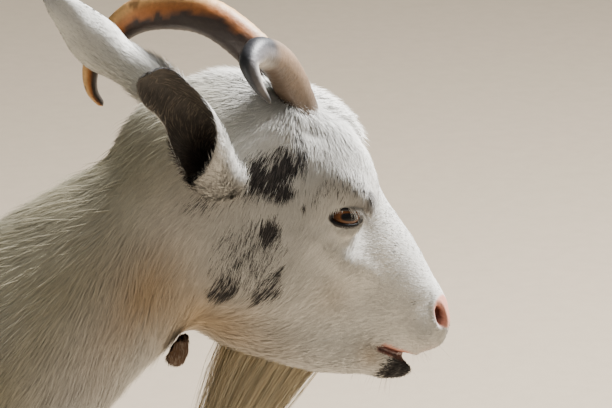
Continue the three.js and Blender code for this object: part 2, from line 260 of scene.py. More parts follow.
def edges_of(mesh):
    return read(mesh.edges, "vertices", 2, np.int32)


def triangles_of(mesh):
    mesh.calc_loop_triangles()
    return read(mesh.loop_triangles, "vertices", 3, np.int32)


def spread(values, edges, steps):
    """Evens out numbers kept at the vertices along the edges between them."""
    values = np.array(values, float)
    flat = values.reshape(len(values), -1)
    a, b = edges.T
    count = np.maximum(np.bincount(edges.ravel(), minlength=len(flat)), 1)
    for _ in range(steps):
        for column in range(flat.shape[1]):
            old = flat[:, column]
            total = np.bincount(a, old[b], len(flat)) + np.bincount(b, old[a], len(flat))
            flat[:, column] = 0.5 * old + 0.5 * total / count
    return flat.reshape(values.shape)


ATTRIBUTE_KINDS = {1: ("FLOAT", "value"), 3: ("FLOAT_VECTOR", "vector"), 4: ("FLOAT_COLOR", "color")}


def drop(mesh, *names):
    for name in names:
        if name in mesh.attributes:
            mesh.attributes.remove(mesh.attributes[name])


def keep_attribute(mesh, name, values):
    """Stores one, three or four numbers on each of a mesh's vertices."""
    drop(mesh, name)
    kind, field = ATTRIBUTE_KINDS[values.size // len(mesh.vertices)]
    attribute = mesh.attributes.new(name, kind, "POINT")
    attribute.data.foreach_set(field, np.ascontiguousarray(values, np.float32).ravel())


def read_attribute(mesh, name, width=1):
    rows = read(mesh.attributes[name].data, ATTRIBUTE_KINDS[width][1], width).astype(float)
    return rows if width > 1 else rows[:, 0]


# ---------- colours of the coat ----------
WHITE = linear(240, 237, 229)
CREAM = linear(236, 222, 176)
TAN = linear(206, 162, 88)
GREY = linear(132, 126, 122)
BLACK = linear(38, 39, 44)
PINK = linear(222, 150, 128)
MOUTH_RED = linear(128, 62, 50)
LIP_BLACK = linear(32, 28, 30)
UDDER_PINK = linear(222, 178, 158)

# Dark marks on each side of the head: place down the face and out of it, half sizes on the level and
# upright with the head as it is held, and how dark.
MARKS = {
    "right": [
        (33.0, -34.5, 18.5, 13.5, 1.0), (41.3, -21.2, 8.4, 10.4, 1.0), (46.9, -36.2, 9.1, 6.5, 1.0),
        (20.5, -45.5, 10.5, 6.5, 1.0), (45.5, -7.8, 5.0, 14.3, 0.75), (64.9, -35.4, 1.6, 3.2, 0.95),
        (56.7, -62.3, 6.5, 9.1, 1.0), (61.3, -73.6, 5.2, 6.5, 0.4), (56.4, -86.6, 22.0, 24.7, 0.42),
        (55.6, -107.3, 7.8, 10.4, 0.85), (82.1, -94.7, 11.0, 11.7, 0.75), (79.4, -84.3, 5.2, 6.5, 0.8),
        (9.4, -68.2, 14.3, 5.8, 0.35), (95.3, 0.7, 1.2, 3.0, 1.0), (97.9, -4.8, 1.2, 1.6, 1.0),
        # the broad faint mark at (79.5, -15.5) is the grey of the brow hair, deepened with painted shade
        # above the right eye
        (90.2, -8.3, 1.9, 1.2, 0.9), (79.5, -15.5, 19.5, 8.4, 0.24), (165.6, -23.7, 1.6, 1.2, 0.7),
        (148.5, -11.4, 2.1, 1.2, 0.4), (164.9, -18.2, 2.1, 1.2, 0.4), (206.7, -39.4, 7.1, 3.2, 0.12),
        (215.6, -53.1, 6.5, 2.6, 0.12),
    ],
    "left": [
        (38, -30, 15, 12, 1.0), (50, -8, 6, 12, 0.5), (62, -60, 8, 9, 0.9), (50, -86, 18, 20, 0.28),
        (78, -100, 9, 10, 0.8), (12, -66, 12, 6, 0.35), (98, -3, 1.4, 2.6, 0.9), (150, -30, 2, 1.4, 0.5),
    ],
}


def darkness(points):
    """How much of the hair is dark at each point, from 0 to 1."""
    local = in_head(points)
    h = local[:, 0] + 2.4 * ripple(local, 9, 1)
    k = local[:, 2] + 2.4 * ripple(local, 9, 2)
    along, upright = math.cos(NOSE_DOWN), math.sin(NOSE_DOWN)
    streaks = 0.86 + 0.45 * ripple(local * [1, 1, 0.3], 4, 3)
    dark = np.zeros(len(local))
    for side, sign in SIDES.items():
        here = eased(local[:, 1] * sign, 14, 26)
        for at_h, at_k, half_h, half_k, depth in MARKS[side]:
            level = (h - at_h) * along + (k - at_k) * upright
            rise = (k - at_k) * along - (h - at_h) * upright
            away = (level / half_h) ** 2 + (rise / half_k) ** 2
            dark = np.maximum(dark, here * depth * np.clip(1.3 - 0.72 * away, 0, 1))
    return np.clip(dark * streaks, 0, 1)


NECK_LINE = (Vector((0.0693, 0, 0.590)), Vector((0.4073, 0.048, 0.832)))


def plain_colour(points):
    """The coat's colour without its dark marks, with painted shade greying it round the eyes."""
    place = folded(in_head(points))
    h, k = place[:, 0], place[:, 2]
    soft = 0.5 + 0.5 * ripple(points, 0.03, 7)

    low, high = NECK_LINE
    along = np.clip((points[:, 0] - low.x) / (high.x - low.x), -3, 1)
    height = points[:, 2] - (low.z + along * (high.z - low.z))
    behind = eased(h, 12, -40)
    trunk = eased(points[:, 0], 0.20, 0.06)
    crest = eased(height, 0.0, 0.09) * (1 - trunk)
    colour = blended(WHITE, CREAM, (0.40 + 0.26 * soft + 0.16 * crest) * behind)
    middle_neck = np.exp(-((height / 0.045) ** 2)) * behind * (1 - trunk)
    colour = blended(colour, GREY * [1.4, 1.35, 0.8], middle_neck * (0.08 + 0.14 * soft))
    under = eased(height, 0.0, -0.085) * behind * (1 - trunk)
    colour = blended(colour, TAN, under * (0.30 + 0.40 * soft))

    jaw = hump(place, (72, 30, -132), (62, 40, 22)) * (0.6 + 0.4 * soft)
    crease = hump(place, (8, 46, -146), (22, 30, 48)) * (0.5 + 0.5 * soft)
    forelock = eased(k, 30, 48) * eased(h, 112, 92) * eased(h, -20, 10)
    colour = blended(colour, TAN, np.clip(jaw * 0.9 + crease * 0.7, 0, 0.85))
    colour = blended(colour, CREAM, forelock * 0.75)
    # painted shade: the coat round and above each eye is greyed and cooled where shade falls in the socket,
    # over the greyish hair of the lids
    socket = hump(place, (104, 50, -13), (22, 14, 10)) * (0.7 + 0.3 * soft)
    colour = blended(colour, GREY * [1.05, 1.12, 1.2], socket * 0.85)
    colour = blended(colour, PINK * 0.8, hump(place, (248, 18, -62), (10, 14, 6)) * 0.35)
    mouth = hump(place, (205, 24, -88), (14, 14, 8)) * 0.35 + hump(place, (140, 45, -72), (22, 25, 12)) * 0.16
    colour = blended(colour, TAN, mouth)
    shank = eased(points[:, 2], 0.30, 0.06)
    colour = blended(colour, CREAM, shank * 0.8)
    knee = eased(ripple(points, 0.05, 9), -0.1, 0.6) * eased(points[:, 2], 0.42, 0.20) * 0.22
    colour = blended(colour, TAN * 0.7, knee)
    return colour


# ---------- bare places of the face ----------
EYE_LONG = unit([24, -4, 14])  # from the rear corner of the lids to the front one
EYE_OUT = unit([0.123, 0.99, 0.072])
EYE_UP = np.cross(EYE_LONG, EYE_OUT) * np.sign(np.cross(EYE_LONG, EYE_OUT)[2])
HALF_OPEN = 12.6
LID_RISE = 5.0
LID_FALL = 6.0
LID_BACK = 4.4  # how far behind the eye's middle the opening between the lids is centred
LID_UP = 2.0  # and how far above it
NOSTRIL = np.array([231.0, 26, -38.8])
NOSE_PAD = (np.array([234, 22, -34.5]), np.array([13, 12, 11]))  # bare skin round a nostril


def eye_plane(local, side):
    """Places measured from an eye's middle: along the opening, up across it, and out of the head."""
    mirror = np.array([1, side, 1])
    offset = local * mirror - EYE_AT
    return np.stack([offset @ EYE_LONG, offset @ EYE_UP, offset @ EYE_OUT], -1)


def from_eye_plane(place, side):
    place = np.asarray(place, float)
    offset = place[..., :1] * EYE_LONG + place[..., 1:2] * EYE_UP + place[..., 2:3] * EYE_OUT
    return (EYE_AT + offset) * [1, side, 1]


def lid_reach(u, v):
    """1 on the edge of the opening between the lids, less inside it."""
    rise = v - LID_UP
    half = np.where(rise > 0, LID_RISE, LID_FALL)
    along = np.abs(u + LID_BACK) / HALF_OPEN
    return np.sqrt(along**2.4 + (rise / half) ** 2)


def mouth_line(h):
    return -69 - 0.19 * (259 - h)


def bareness(local):
    """1 where the skin shows bare: on the lids' edges, in the nostrils and along the lips."""
    h, k = local[:, 0], local[:, 2]
    bare = np.zeros(len(local))
    for side in SIDES.values():
        place = eye_plane(local, side)
        near = eased(lid_reach(place[:, 0], place[:, 1]), 1.3, 1.12) * (place[:, 2] > 0)
        bare = np.maximum(bare, near * (np.sign(local[:, 1]) == side))
    away = np.linalg.norm((folded(local) - NOSE_PAD[0]) / NOSE_PAD[1], axis=1)
    bare = np.maximum(bare, eased(away, 1.1, 0.9))
    lips = eased(np.abs(k - mouth_line(h)), 5, 3) * eased(h, 204, 212)
    return np.maximum(bare, lips)


# ---------- the skin's shape ----------
VOXEL = 6.0 * MM
SCULPTED_FROM = 35  # place down the face, in mm, from which the finer forms are worked
COAT_ROUGHNESS = 0.75
COAT_DEPTH = {"neck": 6, "trunk": 7, "tail": 5, "udder": 0.5}
HEAD_DEPTH = [(0, 4), (60, 2.6), (110, 2.0), (150, 1.2)]  # by the place down the face
LEG_DEPTH = [(0.10, 0.0), (0.30, 1.0), (0.45, 4.5), (0.60, 6.5)]
FORELOCK_DEPTH = 8.0
BROAD_SMOOTHING = [(0.34, 14), (0.40, 12), (0.45, 10)]  # height above which the body is eased, and rounds


def nearest_nodes(points):
    """For each point the name of the flesh node that it lies nearest to."""
    verts, polygons, owner = [], [], []
    for name in FLESH:
        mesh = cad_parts[name].data
        start = len(verts)
        verts.extend(v.co.copy() for v in mesh.vertices)
        for polygon in mesh.polygons:
            polygons.append([start + i for i in polygon.vertices])
            owner.append(name)
    tree = BVHTree.FromPolygons(verts, polygons)
    return np.array([owner[tree.find_nearest(p)[2]] for p in points])


def smooth(bm, verts, rounds, factor=0.5):
    for _ in range(rounds):
        bmesh.ops.smooth_vert(
            bm, verts=verts, factor=factor, use_axis_x=True, use_axis_y=True, use_axis_z=True)


def solid_of(node):
    """A copy of a CAD node's solid, with its triangles joined."""
    part = bmesh.new()
    part.from_mesh(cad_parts[node].data)
    bmesh.ops.remove_doubles(part, verts=part.verts, dist=WELD)
    return part


def add_part(bm, part, grown):
    """Adds a part to bm with its surface moved out by grown."""
    part.normal_update()
    for vert in part.verts:
        vert.co += vert.normal * grown
    copied = bpy.data.meshes.new("part")
    part.to_mesh(copied)
    part.free()
    bm.from_mesh(copied)
    bpy.data.meshes.remove(copied)


def joined_flesh():
    """The solids of flesh and the eyeballs grown into one closed body of even squares."""
    bm = bmesh.new()
    for name in FLESH + ("eye_left", "eye_right"):
        part = solid_of(name)
        bmesh.ops.recalc_face_normals(part, faces=part.faces)
        add_part(bm, part, 0.25 * MM)
    obj = new_object("joined", mesh_of(bm, "joined"))
    remesh = obj.modifiers.new("joined", "REMESH")
    remesh.mode = "VOXEL"
    remesh.voxel_size = VOXEL
    mesh = bpy.data.meshes.new_from_object(obj.evaluated_get(bpy.context.evaluated_depsgraph_get()))
    bpy.data.objects.remove(obj)
    return mesh


def coat_depth(points, nodes):
    depth = np.array([COAT_DEPTH.get(n, 0) for n in nodes], float)
    leg = np.isin(nodes, LEG_NAMES)
    depth[leg] = ramp(points[leg, 2], LEG_DEPTH)
    local = in_head(points)
    depth[nodes == "head"] = ramp(local[nodes == "head", 0], HEAD_DEPTH)
    forelock = eased(local[:, 2], 12, 34) * eased(local[:, 0], 128, 96) * eased(local[:, 0], -30, 0)
    forelock = forelock * eased(np.abs(local[:, 1]), 44, 26) * (nodes == "head")
    return depth + FORELOCK_DEPTH * forelock


def refine(bm, wanted):
    """Halves the squares where wanted(local) is true, and eases them."""
    places = in_head([e.verts[0].co for e in bm.edges])
    edges = [e for e, k in zip(bm.edges, wanted(places)) if k]
    bmesh.ops.subdivide_edges(bm, edges=edges, cuts=1, use_grid_fill=True)
    places = in_head([v.co for v in bm.verts])
    smooth(bm, [v for v, k in zip(bm.verts, wanted(places)) if k], 3)


def of_head(local):
    return (local[:, 0] > -25) & (local[:, 2] > -150) & (local[:, 0] * 0.5 + local[:, 2] > -150)


def of_face(local):
    return local[:, 0] > 78


# Soft lumps and hollows of the face: place (the middle one is out from the middle), half sizes, lift in mm.
FACE_FORMS = [
    ((94, 50, -6), (22, 12, 9), 4.2),  # brow over the eye
    ((99, 52, -13), (16, 12, 7), 3.2),
    ((112, 47, -12), (10, 11, 7), 2.4),
    ((127, 42, -21), (13, 14, 14), -3.2),  # hollow before the eye
    ((50, 34, 8), (16, 12, 12), -6.0),  # where the coat parts round a horn
    ((84, 56, -38), (8, 10, 8), -1.0),
    ((112, 48, -48), (20, 12, 6), 1.8),  # bone under the eye
    ((150, 40, -44), (26, 12, 7), 1.6),
    ((195, 0, -6), (45, 24, 16), 1.2),  # bridge of the nose
    ((236, 0, -24), (16, 18, 10), 1.6),
    ((170, 38, -62), (30, 12, 9), -2.2),  # hollow of the cheek
    ((68, 50, -95), (30, 14, 30), 2.4),  # chewing muscle
    ((230, 24, -25), (12, 9, 6), 1.8),  # wing of the nostril
    ((242, 20, -38), (6, 6, 8), 1.2),
    ((216, 26, -40), (8, 9, 10), -1.2),
    ((232, 24, -58), (15, 12, 8), 2.2),  # upper lip
    ((255, 6, -60), (9, 10, 8), -1.2),
    ((250, 7, -80), (11, 12, 8), 7.0),  # lower lip
    ((236, 10, -92), (14, 12, 7), 2.2),  # chin
    ((212, 20, -90), (12, 12, 7), -0.8),
    ((256, 0, -44), (9, 3, 12), -1.3),  # groove under the nose
]


def sculpt(points, normals):
    """Moves the vertices of the head into its finer forms. Works on millimetres in the head's frame."""
    local = in_head(points)
    facing = normals @ HEAD_AXES.T
    h, k = local[:, 0], local[:, 2]
    y = np.abs(local[:, 1])
    moved = local.copy()
    for at, half, lift in FACE_FORMS:
        moved += facing * (lift * hump(folded(local), at, half))[:, None]

    # the mouth: a groove between the lips that opens towards the front
    depth = ramp(h, [(198, 0), (208, 3.0), (222, 6), (244, 8), (262, 8)])
    half = ramp(h, [(198, 1.2), (215, 2.0), (232, 3.2), (250, 4.5), (262, 5)])
    across = np.abs(k - mouth_line(h) + 1.0) / half
    groove = depth * eased(across, 1.25, 0.35)
    moved[:, 1] -= np.sign(local[:, 1]) * np.minimum(groove, y * 0.8) * 0.75
    moved[:, 0] -= groove * eased(h, 225, 250) * 1.1

    # the nostrils: comma-shaped pits that run back into the head
    pit = np.sqrt(((h - NOSTRIL[0]) / 7.5) ** 2 + ((k - NOSTRIL[2] + 0.45 * (h - NOSTRIL[0])) / 5.0) ** 2)
    sunk = eased(pit, 1.0, 0.35) * (y > 8)
    moved[:, 1] -= np.sign(local[:, 1]) * sunk * 7.0
    moved[:, 0] -= sunk * 2.5
    rim = np.exp(-(((pit - 1.25) / 0.3) ** 2)) * (y > 8)
    moved += facing * (0.8 * rim)[:, None]

    # the lids: a shell over each eyeball with the opening sunk behind it
    for side in SIDES.values():
        place = eye_plane(moved, side)
        u, v, w = place.T
        near = (w > -1) & (np.hypot(u, v) < 24)
        reach = lid_reach(u, v)
        out = np.linalg.norm(place, axis=1)
        upper = eased(v - LID_UP, -3, 3)
        fold = -0.5 * np.exp(-(((reach - 1.75) / 0.22) ** 2)) * upper
        shell = EYE_RADIUS + 1.35 + 0.2 * upper * eased(reach, 1.9, 1.1)
        target = np.where(reach < 1, EYE_RADIUS - 3.2, np.maximum(out + fold, shell))
        scaled = place * (target / np.maximum(out, 1e-6))[:, None]
        moved = np.where(near[:, None], from_eye_plane(scaled, side), moved)
    return from_head(moved)


def ear_frame(side, steps):
    """Along one ear: its centre line, and the directions along it, out of its cup and across it."""
    plan = EARS[side]
    mirror = np.array([1, SIDES[side], 1])
    spine = smooth_row(np.array(plan["spine"]) * mirror, steps)
    tangent = unit(np.gradient(spine, axis=0))
    root_face, tip_face = (np.array(f) * mirror for f in plan["open"])
    face = blended(root_face, tip_face, eased(np.linspace(0, 1, steps), 0.32, 0.9))
    face = unit(face - tangent * dot(face, tangent)[:, None])
    return spine, tangent, face, np.cross(tangent, face)


def ear_rings(side, steps, around):
    """One ear as rings of a thin crescent that close to a tube at the root, with the place of each point:
    share of the way to the tip, share of the way across, and 1 on the inside."""
    spine, _, face, across = ear_frame(side, steps)
    t = np.linspace(0, 1, steps)
    half = ramp(t, EARS[side]["widths"])
    wrap = ramp(t, EAR_WRAPS)
    radius = half / wrap
    rings, place = [], []
    for inside in (0, 1):
        share = np.linspace(0, 1, around // 2)
        share = 1 - share if inside else share
        angle = (1 - 2 * share)[None, :] * wrap[:, None] * (0.97 if inside else 1)
        edge = np.sin(share * math.pi) ** 0.4
        thick = np.minimum(2.6, radius * 0.4)[:, None] * (0.35 + 0.65 * edge)[None, :] * inside
        wave = 0.5 * np.sin(t * 21 + 1)[:, None] * np.sin(share * math.pi * 3)[None, :] * (t * 1.2)[:, None]
        r = radius[:, None] - thick + wave
        point = spine[:, None, :] + across[:, None, :] * (r * np.sin(angle))[..., None]
        point = point - face[:, None, :] * (r * np.cos(angle))[..., None]
        rings.append(point)
        place.append(columns(t[:, None], share[None, :], float(inside)))
    return from_head(np.concatenate(rings, 1)), np.concatenate(place, 1)


# For each ear: its centre line, the way its cup faces at the root and at the tip, and half its width across
# by the share of the way along.
EARS = {
    "right": {
        "spine": [(20, 37, -49), (-3, 54, -54), (-30, 71, -51), (-64, 85, -44), (-98, 93, -38),
                  (-113, 95, -34)],
        "open": ((-0.29, -0.09, -0.95), (-0.5, 0.83, -0.25)),
        "widths": [(0, 36), (0.25, 47), (0.38, 49), (0.48, 44), (0.6, 32), (0.72, 22), (0.88, 17), (0.95, 12),
                   (0.99, 6), (1, 3)],
    },
    "left": {
        "spine": [(26, 36, -32), (9, 50, -24), (-13, 60, -20), (-51, 67, -21), (-87, 71, -16),
                  (-111, 73, -14)],
        "open": ((0.57, 0.81, 0.08), (0.57, 0.81, 0.08)),
        "widths": [(0, 34), (0.22, 44), (0.33, 42), (0.5, 31), (0.65, 24), (0.83, 15), (0.94, 9.5), (0.99, 5),
                   (1, 3)],
    },
}
EAR_STEPS, EAR_AROUND = 46, 36
EAR_WRAPS = [(0, 3.12), (0.25, 3.1), (0.38, 2.9), (0.48, 2.3), (0.6, 1.6), (0.72, 1.1), (1, 0.7)]


def ears_mesh():
    bm = bmesh.new()
    for side in SIDES:
        tube(bm, *ear_rings(side, EAR_STEPS, EAR_AROUND))
    smooth(bm, bm.verts, 2, 0.4)
    return mesh_of(bm, "ears")


def wattles_into(bm):
    for side in SIDES:
        part = solid_of(f"wattle_{side}")
        bmesh.ops.subdivide_edges(part, edges=part.edges, cuts=1, use_grid_fill=True, smooth=0.6)
        add_part(bm, part, -MM)


# ---------- how the hair lies ----------
# On the head, at a place (the middle number is out from the middle): the way the hair lies along the
# same three directions, its length in mm and how far it lifts in degrees.
HEAD_LIE = [
    ((252, 8, -20), (-1, 0.3, 0.4), 3, 10),
    ((230, 8, -12), (-1, 0.1, 0.1), 3.5, 9),
    ((190, 10, -6), (-1, 0.1, 0), 4.5, 9),
    ((140, 12, 4), (-1, 0.1, 0), 5.5, 10),
    ((200, 30, -36), (-1, 0, -0.3), 4.5, 9),
    ((150, 42, -28), (-0.9, 0, -0.5), 5.5, 9),
    ((240, 24, -58), (-0.9, 0.1, -0.4), 4, 10),
    ((255, 8, -62), (-0.5, 0.5, -0.5), 4, 14),
    ((236, 12, -94), (-0.9, 0.1, -0.5), 6, 16),
    ((200, 22, -98), (-0.9, 0.1, -0.4), 8, 14),
    ((180, 32, -72), (-0.75, 0, -0.65), 6, 10),
    ((130, 46, -70), (-0.45, 0, -0.9), 7.5, 10),
    ((90, 50, -80), (-0.15, 0, -1), 9.5, 11),
    ((103, 52, -48), (-0.2, 0, -1), 5, 9),
    ((50, 50, -82), (0.2, 0, -1), 12, 12),
    ((55, 42, -125), (-0.1, 0.1, -1), 14, 14),
    ((10, 46, -75), (-0.25, 0, -1), 15, 13),
    ((120, 18, -140), (-1, 0.2, -0.3), 15, 16),
    ((70, 14, -142), (-1, 0.2, -0.2), 17, 16),
    ((100, 50, -6), (0.35, 0.4, -0.8), 5, 12),
    ((96, 36, 6), (0.5, 0.4, -0.6), 6, 12),
    ((114, 30, 8), (0.6, 0.4, -0.4), 5, 10),
    ((82, 54, -16), (0.3, 0.3, -0.9), 6, 12),
    ((60, 50, -20), (0.25, 0.3, -0.95), 10, 14),
    ((40, 46, -22), (0.1, 0.3, -1), 11, 15),
    ((72, 40, 6), (0.45, 0.6, -0.5), 12, 16),
    ((104, 10, 28), (0.9, 0.2, 0.1), 9, 18),
    ((82, 12, 44), (0.85, 0.15, 0.3), 20, 24),
    ((50, 6, 46), (0.75, 0.1, 0.5), 22, 26),
    ((15, 14, 40), (-0.7, 0.25, 0.2), 23, 30),
    ((-10, 20, 10), (-0.9, 0.25, -0.25), 21, 23),
    ((-20, 34, -40), (-0.6, 0.1, -0.8), 20, 14),
]
# Elsewhere: the way the hair lies on top, at the side and below, lengths in mm in the same order, lift.
BODY_LIE = {
    "neck": ((-1, 0, -0.4), (-0.8, 0, -0.7), (-0.5, 0, -0.9), (32, 27, 27), 12),
    "trunk": ((-1, 0, -0.05), (-0.8, 0, -0.65), (-1, 0, -0.2), (32, 32, 38), 11),
    "tail": ((-0.5, 0, 0.85), (-0.5, 0, 0.85), (-0.5, 0, 0.85), (34, 36, 40), 13),
    "udder": ((-0.2, 0, -1), (-0.2, 0, -1), (-0.2, 0, -1), (4, 4, 4), 8),
    "leg": ((-0.15, 0, -1), (-0.15, 0, -1), (-0.15, 0, -1), (14, 14, 14), 9),
}
LEG_HAIR = [(0.04, 7), (0.20, 8), (0.36, 12), (0.50, 22), (0.65, 28)]


def head_lie(local):
    """The hair's direction in the row frame, its length in mm and its lift in degrees, on the head."""
    side = np.where(local[:, 1] < 0, -1.0, 1.0)
    place = folded(local)
    total = np.zeros((len(local), 5))
    weights = np.zeros(len(local))
    for at, way, length, lift in HEAD_LIE:
        weight = 1 / (((place - at) ** 2).sum(1) + 60) ** 1.7
        total += weight[:, None] * np.array([*unit(way), length, lift])
        weights += weight
    total /= weights[:, None]
    way = total[:, :3] * np.stack([np.ones_like(side), side, np.ones_like(side)], -1)
    return way @ HEAD_AXES, total[:, 3], total[:, 4]


def lie_fields(points, normals, nodes, edges):
    """The hair's direction, length and lift at every vertex, eased from one part of the body to the next."""
    way = np.zeros_like(points)
    length = np.zeros(len(points))
    lift = np.zeros(len(points))
    up = np.clip(normals[:, 2:], -1, 1)
    for name, (top, flank, under, lengths, raised) in BODY_LIE.items():
        here = np.isin(nodes, LEG_NAMES) if name == "leg" else nodes == name
        rise, fall = np.maximum(up[here], 0), np.maximum(-up[here], 0)
        level = 1 - rise - fall
        way[here] = rise * np.array(top) + level * np.array(flank) + fall * np.array(under)
        length[here] = (np.hstack([rise, level, fall]) * lengths).sum(1)
        lift[here] = raised
    stern = (nodes == "trunk") * eased(normals[:, 0], -0.1, -0.8)
    way = blended(way, np.array([0, 0, -1.0]), stern * 0.8)
    neck = nodes == "neck"
    near_head = eased(points[:, 0], 0.20, 0.36) * neck * (1 - np.maximum(up[:, 0], 0) * 0.5)
    way = blended(way, np.array([-0.35, 0, -0.95]), near_head)
    leg = np.isin(nodes, LEG_NAMES)
    length[leg] = ramp(points[leg, 2], LEG_HAIR)
    head = nodes == "head"
    way[head], length[head], lift[head] = head_lie(in_head(points[head]))
    fields = np.hstack([unit(way), length[:, None], lift[:, None]])
    eased_fields = spread(fields, edges, 60)
    share = head * eased(in_head(points)[:, 0], 10, 60)
    fields = blended(eased_fields, fields, share)
    return fields[:, :3], fields[:, 3], fields[:, 4]


PATCH_NAMES = ("face", "head_right", "head_left", "neck_right", "neck_left", "trunk_right", "trunk_left",
               "forelegs", "hindlegs", "tail", "ears")


def patch_of(points, nodes):
    """Which piece of the coat grows at each point, as a place in PATCH_NAMES."""
    local = in_head(points)
    patch = np.full(len(points), PATCH_NAMES.index("tail"))
    left_of_head = local[:, 1] > 0
    left = points[:, 1] > np.interp(points[:, 0], [0.15, 0.40], [0, 0.045])
    head = nodes == "head"
    patch[head & left_of_head] = PATCH_NAMES.index("head_left")
    patch[head & ~left_of_head] = PATCH_NAMES.index("head_right")
    patch[head & (local[:, 0] > 78)] = PATCH_NAMES.index("face")
    for name in ("neck", "trunk"):
        patch[(nodes == name) & left] = PATCH_NAMES.index(f"{name}_left")
        patch[(nodes == name) & ~left] = PATCH_NAMES.index(f"{name}_right")
    for name in ("foreleg", "hindleg"):
        patch[np.char.startswith(nodes, name)] = PATCH_NAMES.index(f"{name}s")
    return patch


def lower_lip(local):
    """1 on the dark lower lip and the front of the chin."""
    h, k = local[:, 0], local[:, 2]
    return eased(k - mouth_line(h), -1.0, -2.6) * eased(k, -97, -91) * eased(h, 219, 228)


def skin_colours(points, nodes):
    """The skin's colour with its roughness in the fourth number."""
    local = in_head(points)
    h, k = local[:, 0], local[:, 2]
    colour = blended(plain_colour(points) * 0.86, BLACK, darkness(points))
    bare = bareness(local)
    colour = blended(colour, PINK, bare * (h > 150) * 0.9)
    # the nostril's red lining, darkened as painted shade inside the hole
    nostril = np.linalg.norm((folded(local) - NOSTRIL - [-1, -6, 0]) / [8, 7, 6.5], axis=1)
    colour = blended(colour, MOUTH_RED * 0.5, eased(nostril, 1.15, 0.6))
    # the red inside of the mouth between the lips, darkened as painted shade in the gap
    across = np.abs(k - mouth_line(h) + 1)
    inner = eased(across, 3.4, 1.6) * eased(h, 203, 210)
    colour = blended(colour, MOUTH_RED * 0.6, inner)
    colour = blended(colour, LIP_BLACK, lower_lip(local) * 0.95)
    corner = np.exp(-(((h - 213) / 9) ** 2 + ((k + 82) / 5) ** 2)) * (h > 190)
    colour = blended(colour, LIP_BLACK * 2, corner * 0.6)
    for side in SIDES.values():
        place = eye_plane(local, side)
        reach = lid_reach(place[:, 0], place[:, 1])
        rim = eased(reach, 1.25, 1.05) * (place[:, 2] > 0) * (np.sign(local[:, 1]) == side)
        colour = blended(colour, LIP_BLACK, rim)
    rough = COAT_ROUGHNESS * (1 - bare) + 0.42 * bare
    bald = nodes == "udder"
    colour[bald] = UDDER_PINK
    rough[bald] = 0.55
    return np.hstack([colour, rough[:, None]])


def ear_fields(place, normals, sides):
    """The hair's direction, length, lift and colour on the ears, from each vertex's place on its ear."""
    t, share, inside = place.T
    inner = inside > 0.5
    way = np.zeros_like(normals)
    colour = np.zeros((len(t), 3))
    for side, sign in SIDES.items():
        here = sides == sign
        _, tangent, _, sideways = ear_frame(side, EAR_STEPS)
        last = EAR_STEPS - 1
        step = np.clip((np.maximum(t[here], 0.4) * last).astype(int), 0, last)
        along, across = tangent[step] @ HEAD_AXES, sideways[step] @ HEAD_AXES
        inward = across * np.where(share[here] < 0.5, -1, 1)[:, None]
        way[here] = along + inward * (inner[here] * 0.9)[:, None]
        spot = t[here], share[here], sign
        dark = np.where(inner[here], inner_dark(*spot), outer_dark(*spot))
        flesh = eased(t[here], 0.62, 0.2) * inner[here] * 0.75
        base = blended(WHITE, linear(205, 168, 142), flesh)
        colour[here] = blended(base, linear(44, 37, 34), dark)
    length = np.where(inner, ramp(t, [(0, 22), (0.25, 16), (0.6, 9), (1, 4)]),
                      ramp(t, [(0, 15), (0.25, 16), (0.45, 9), (0.7, 5), (1, 3.5)]))
    lift = np.where(inner, 13, ramp(t, [(0, 20), (0.3, 20), (0.6, 8)]))
    return unit(way), length, lift, colour


def inner_dark(t, share, sign):
    """Dark hair inside an ear: most of the right one, and only a shade in the left."""
    if sign < 0:
        return (1 - 0.6 * eased(share, 0.7, 0.95) * eased(t, 0.55, 0.3)) * 0.93
    return eased(t, 0.3, 0.9) * 0.45


def outer_dark(t, share, sign):
    if sign < 0:
        return eased(t, 0.75, 0.93) * 0.85 + eased(share, 0.26, 0.04) * eased(t, 0.32, 0.6) * 0.5
    return 0.10 * eased(np.abs(share - 0.5), 0.3, 0.0)


def put_points(bm, mesh, points):
    for vert, co in zip(bm.verts, points):
        vert.co = co
    bm.to_mesh(mesh)


def make_skin_mesh():
    mesh = joined_flesh()
    bm = bmesh.new()
    bm.from_mesh(mesh)
    smooth(bm, bm.verts, 5)
    bm.to_mesh(mesh)
    nodes = nearest_nodes(points_of(mesh))
    bm.verts.ensure_lookup_table()
    rise = points_of(mesh)[:, 2]
    for base, rounds in BROAD_SMOOTHING:
        broad = (np.isin(nodes, ("trunk", "neck")) | np.isin(nodes, LEG_NAMES)) & (rise > base)
        smooth(bm, [bm.verts[i] for i in np.flatnonzero(broad)], rounds)
    bm.to_mesh(mesh)
    points, normals = points_of(mesh), normals_of(mesh)
    depth = spread(coat_depth(points, nodes), edges_of(mesh), 6)
    put_points(bm, mesh, points - normals * depth[:, None] * MM)
    smooth(bm, bm.verts, 1)
    refine(bm, of_head)
    refine(bm, of_face)
    bmesh.ops.triangulate(bm, faces=[f for f in bm.faces if len(f.verts) > 4])
    bm.normal_update()
    points = np.array([v.co for v in bm.verts])
    normals = np.array([v.normal for v in bm.verts])
    face = in_head(points)[:, 0] > SCULPTED_FROM
    points[face] = sculpt(points[face], normals[face])
    put_points(bm, mesh, points)
    bm.free()
    return mesh


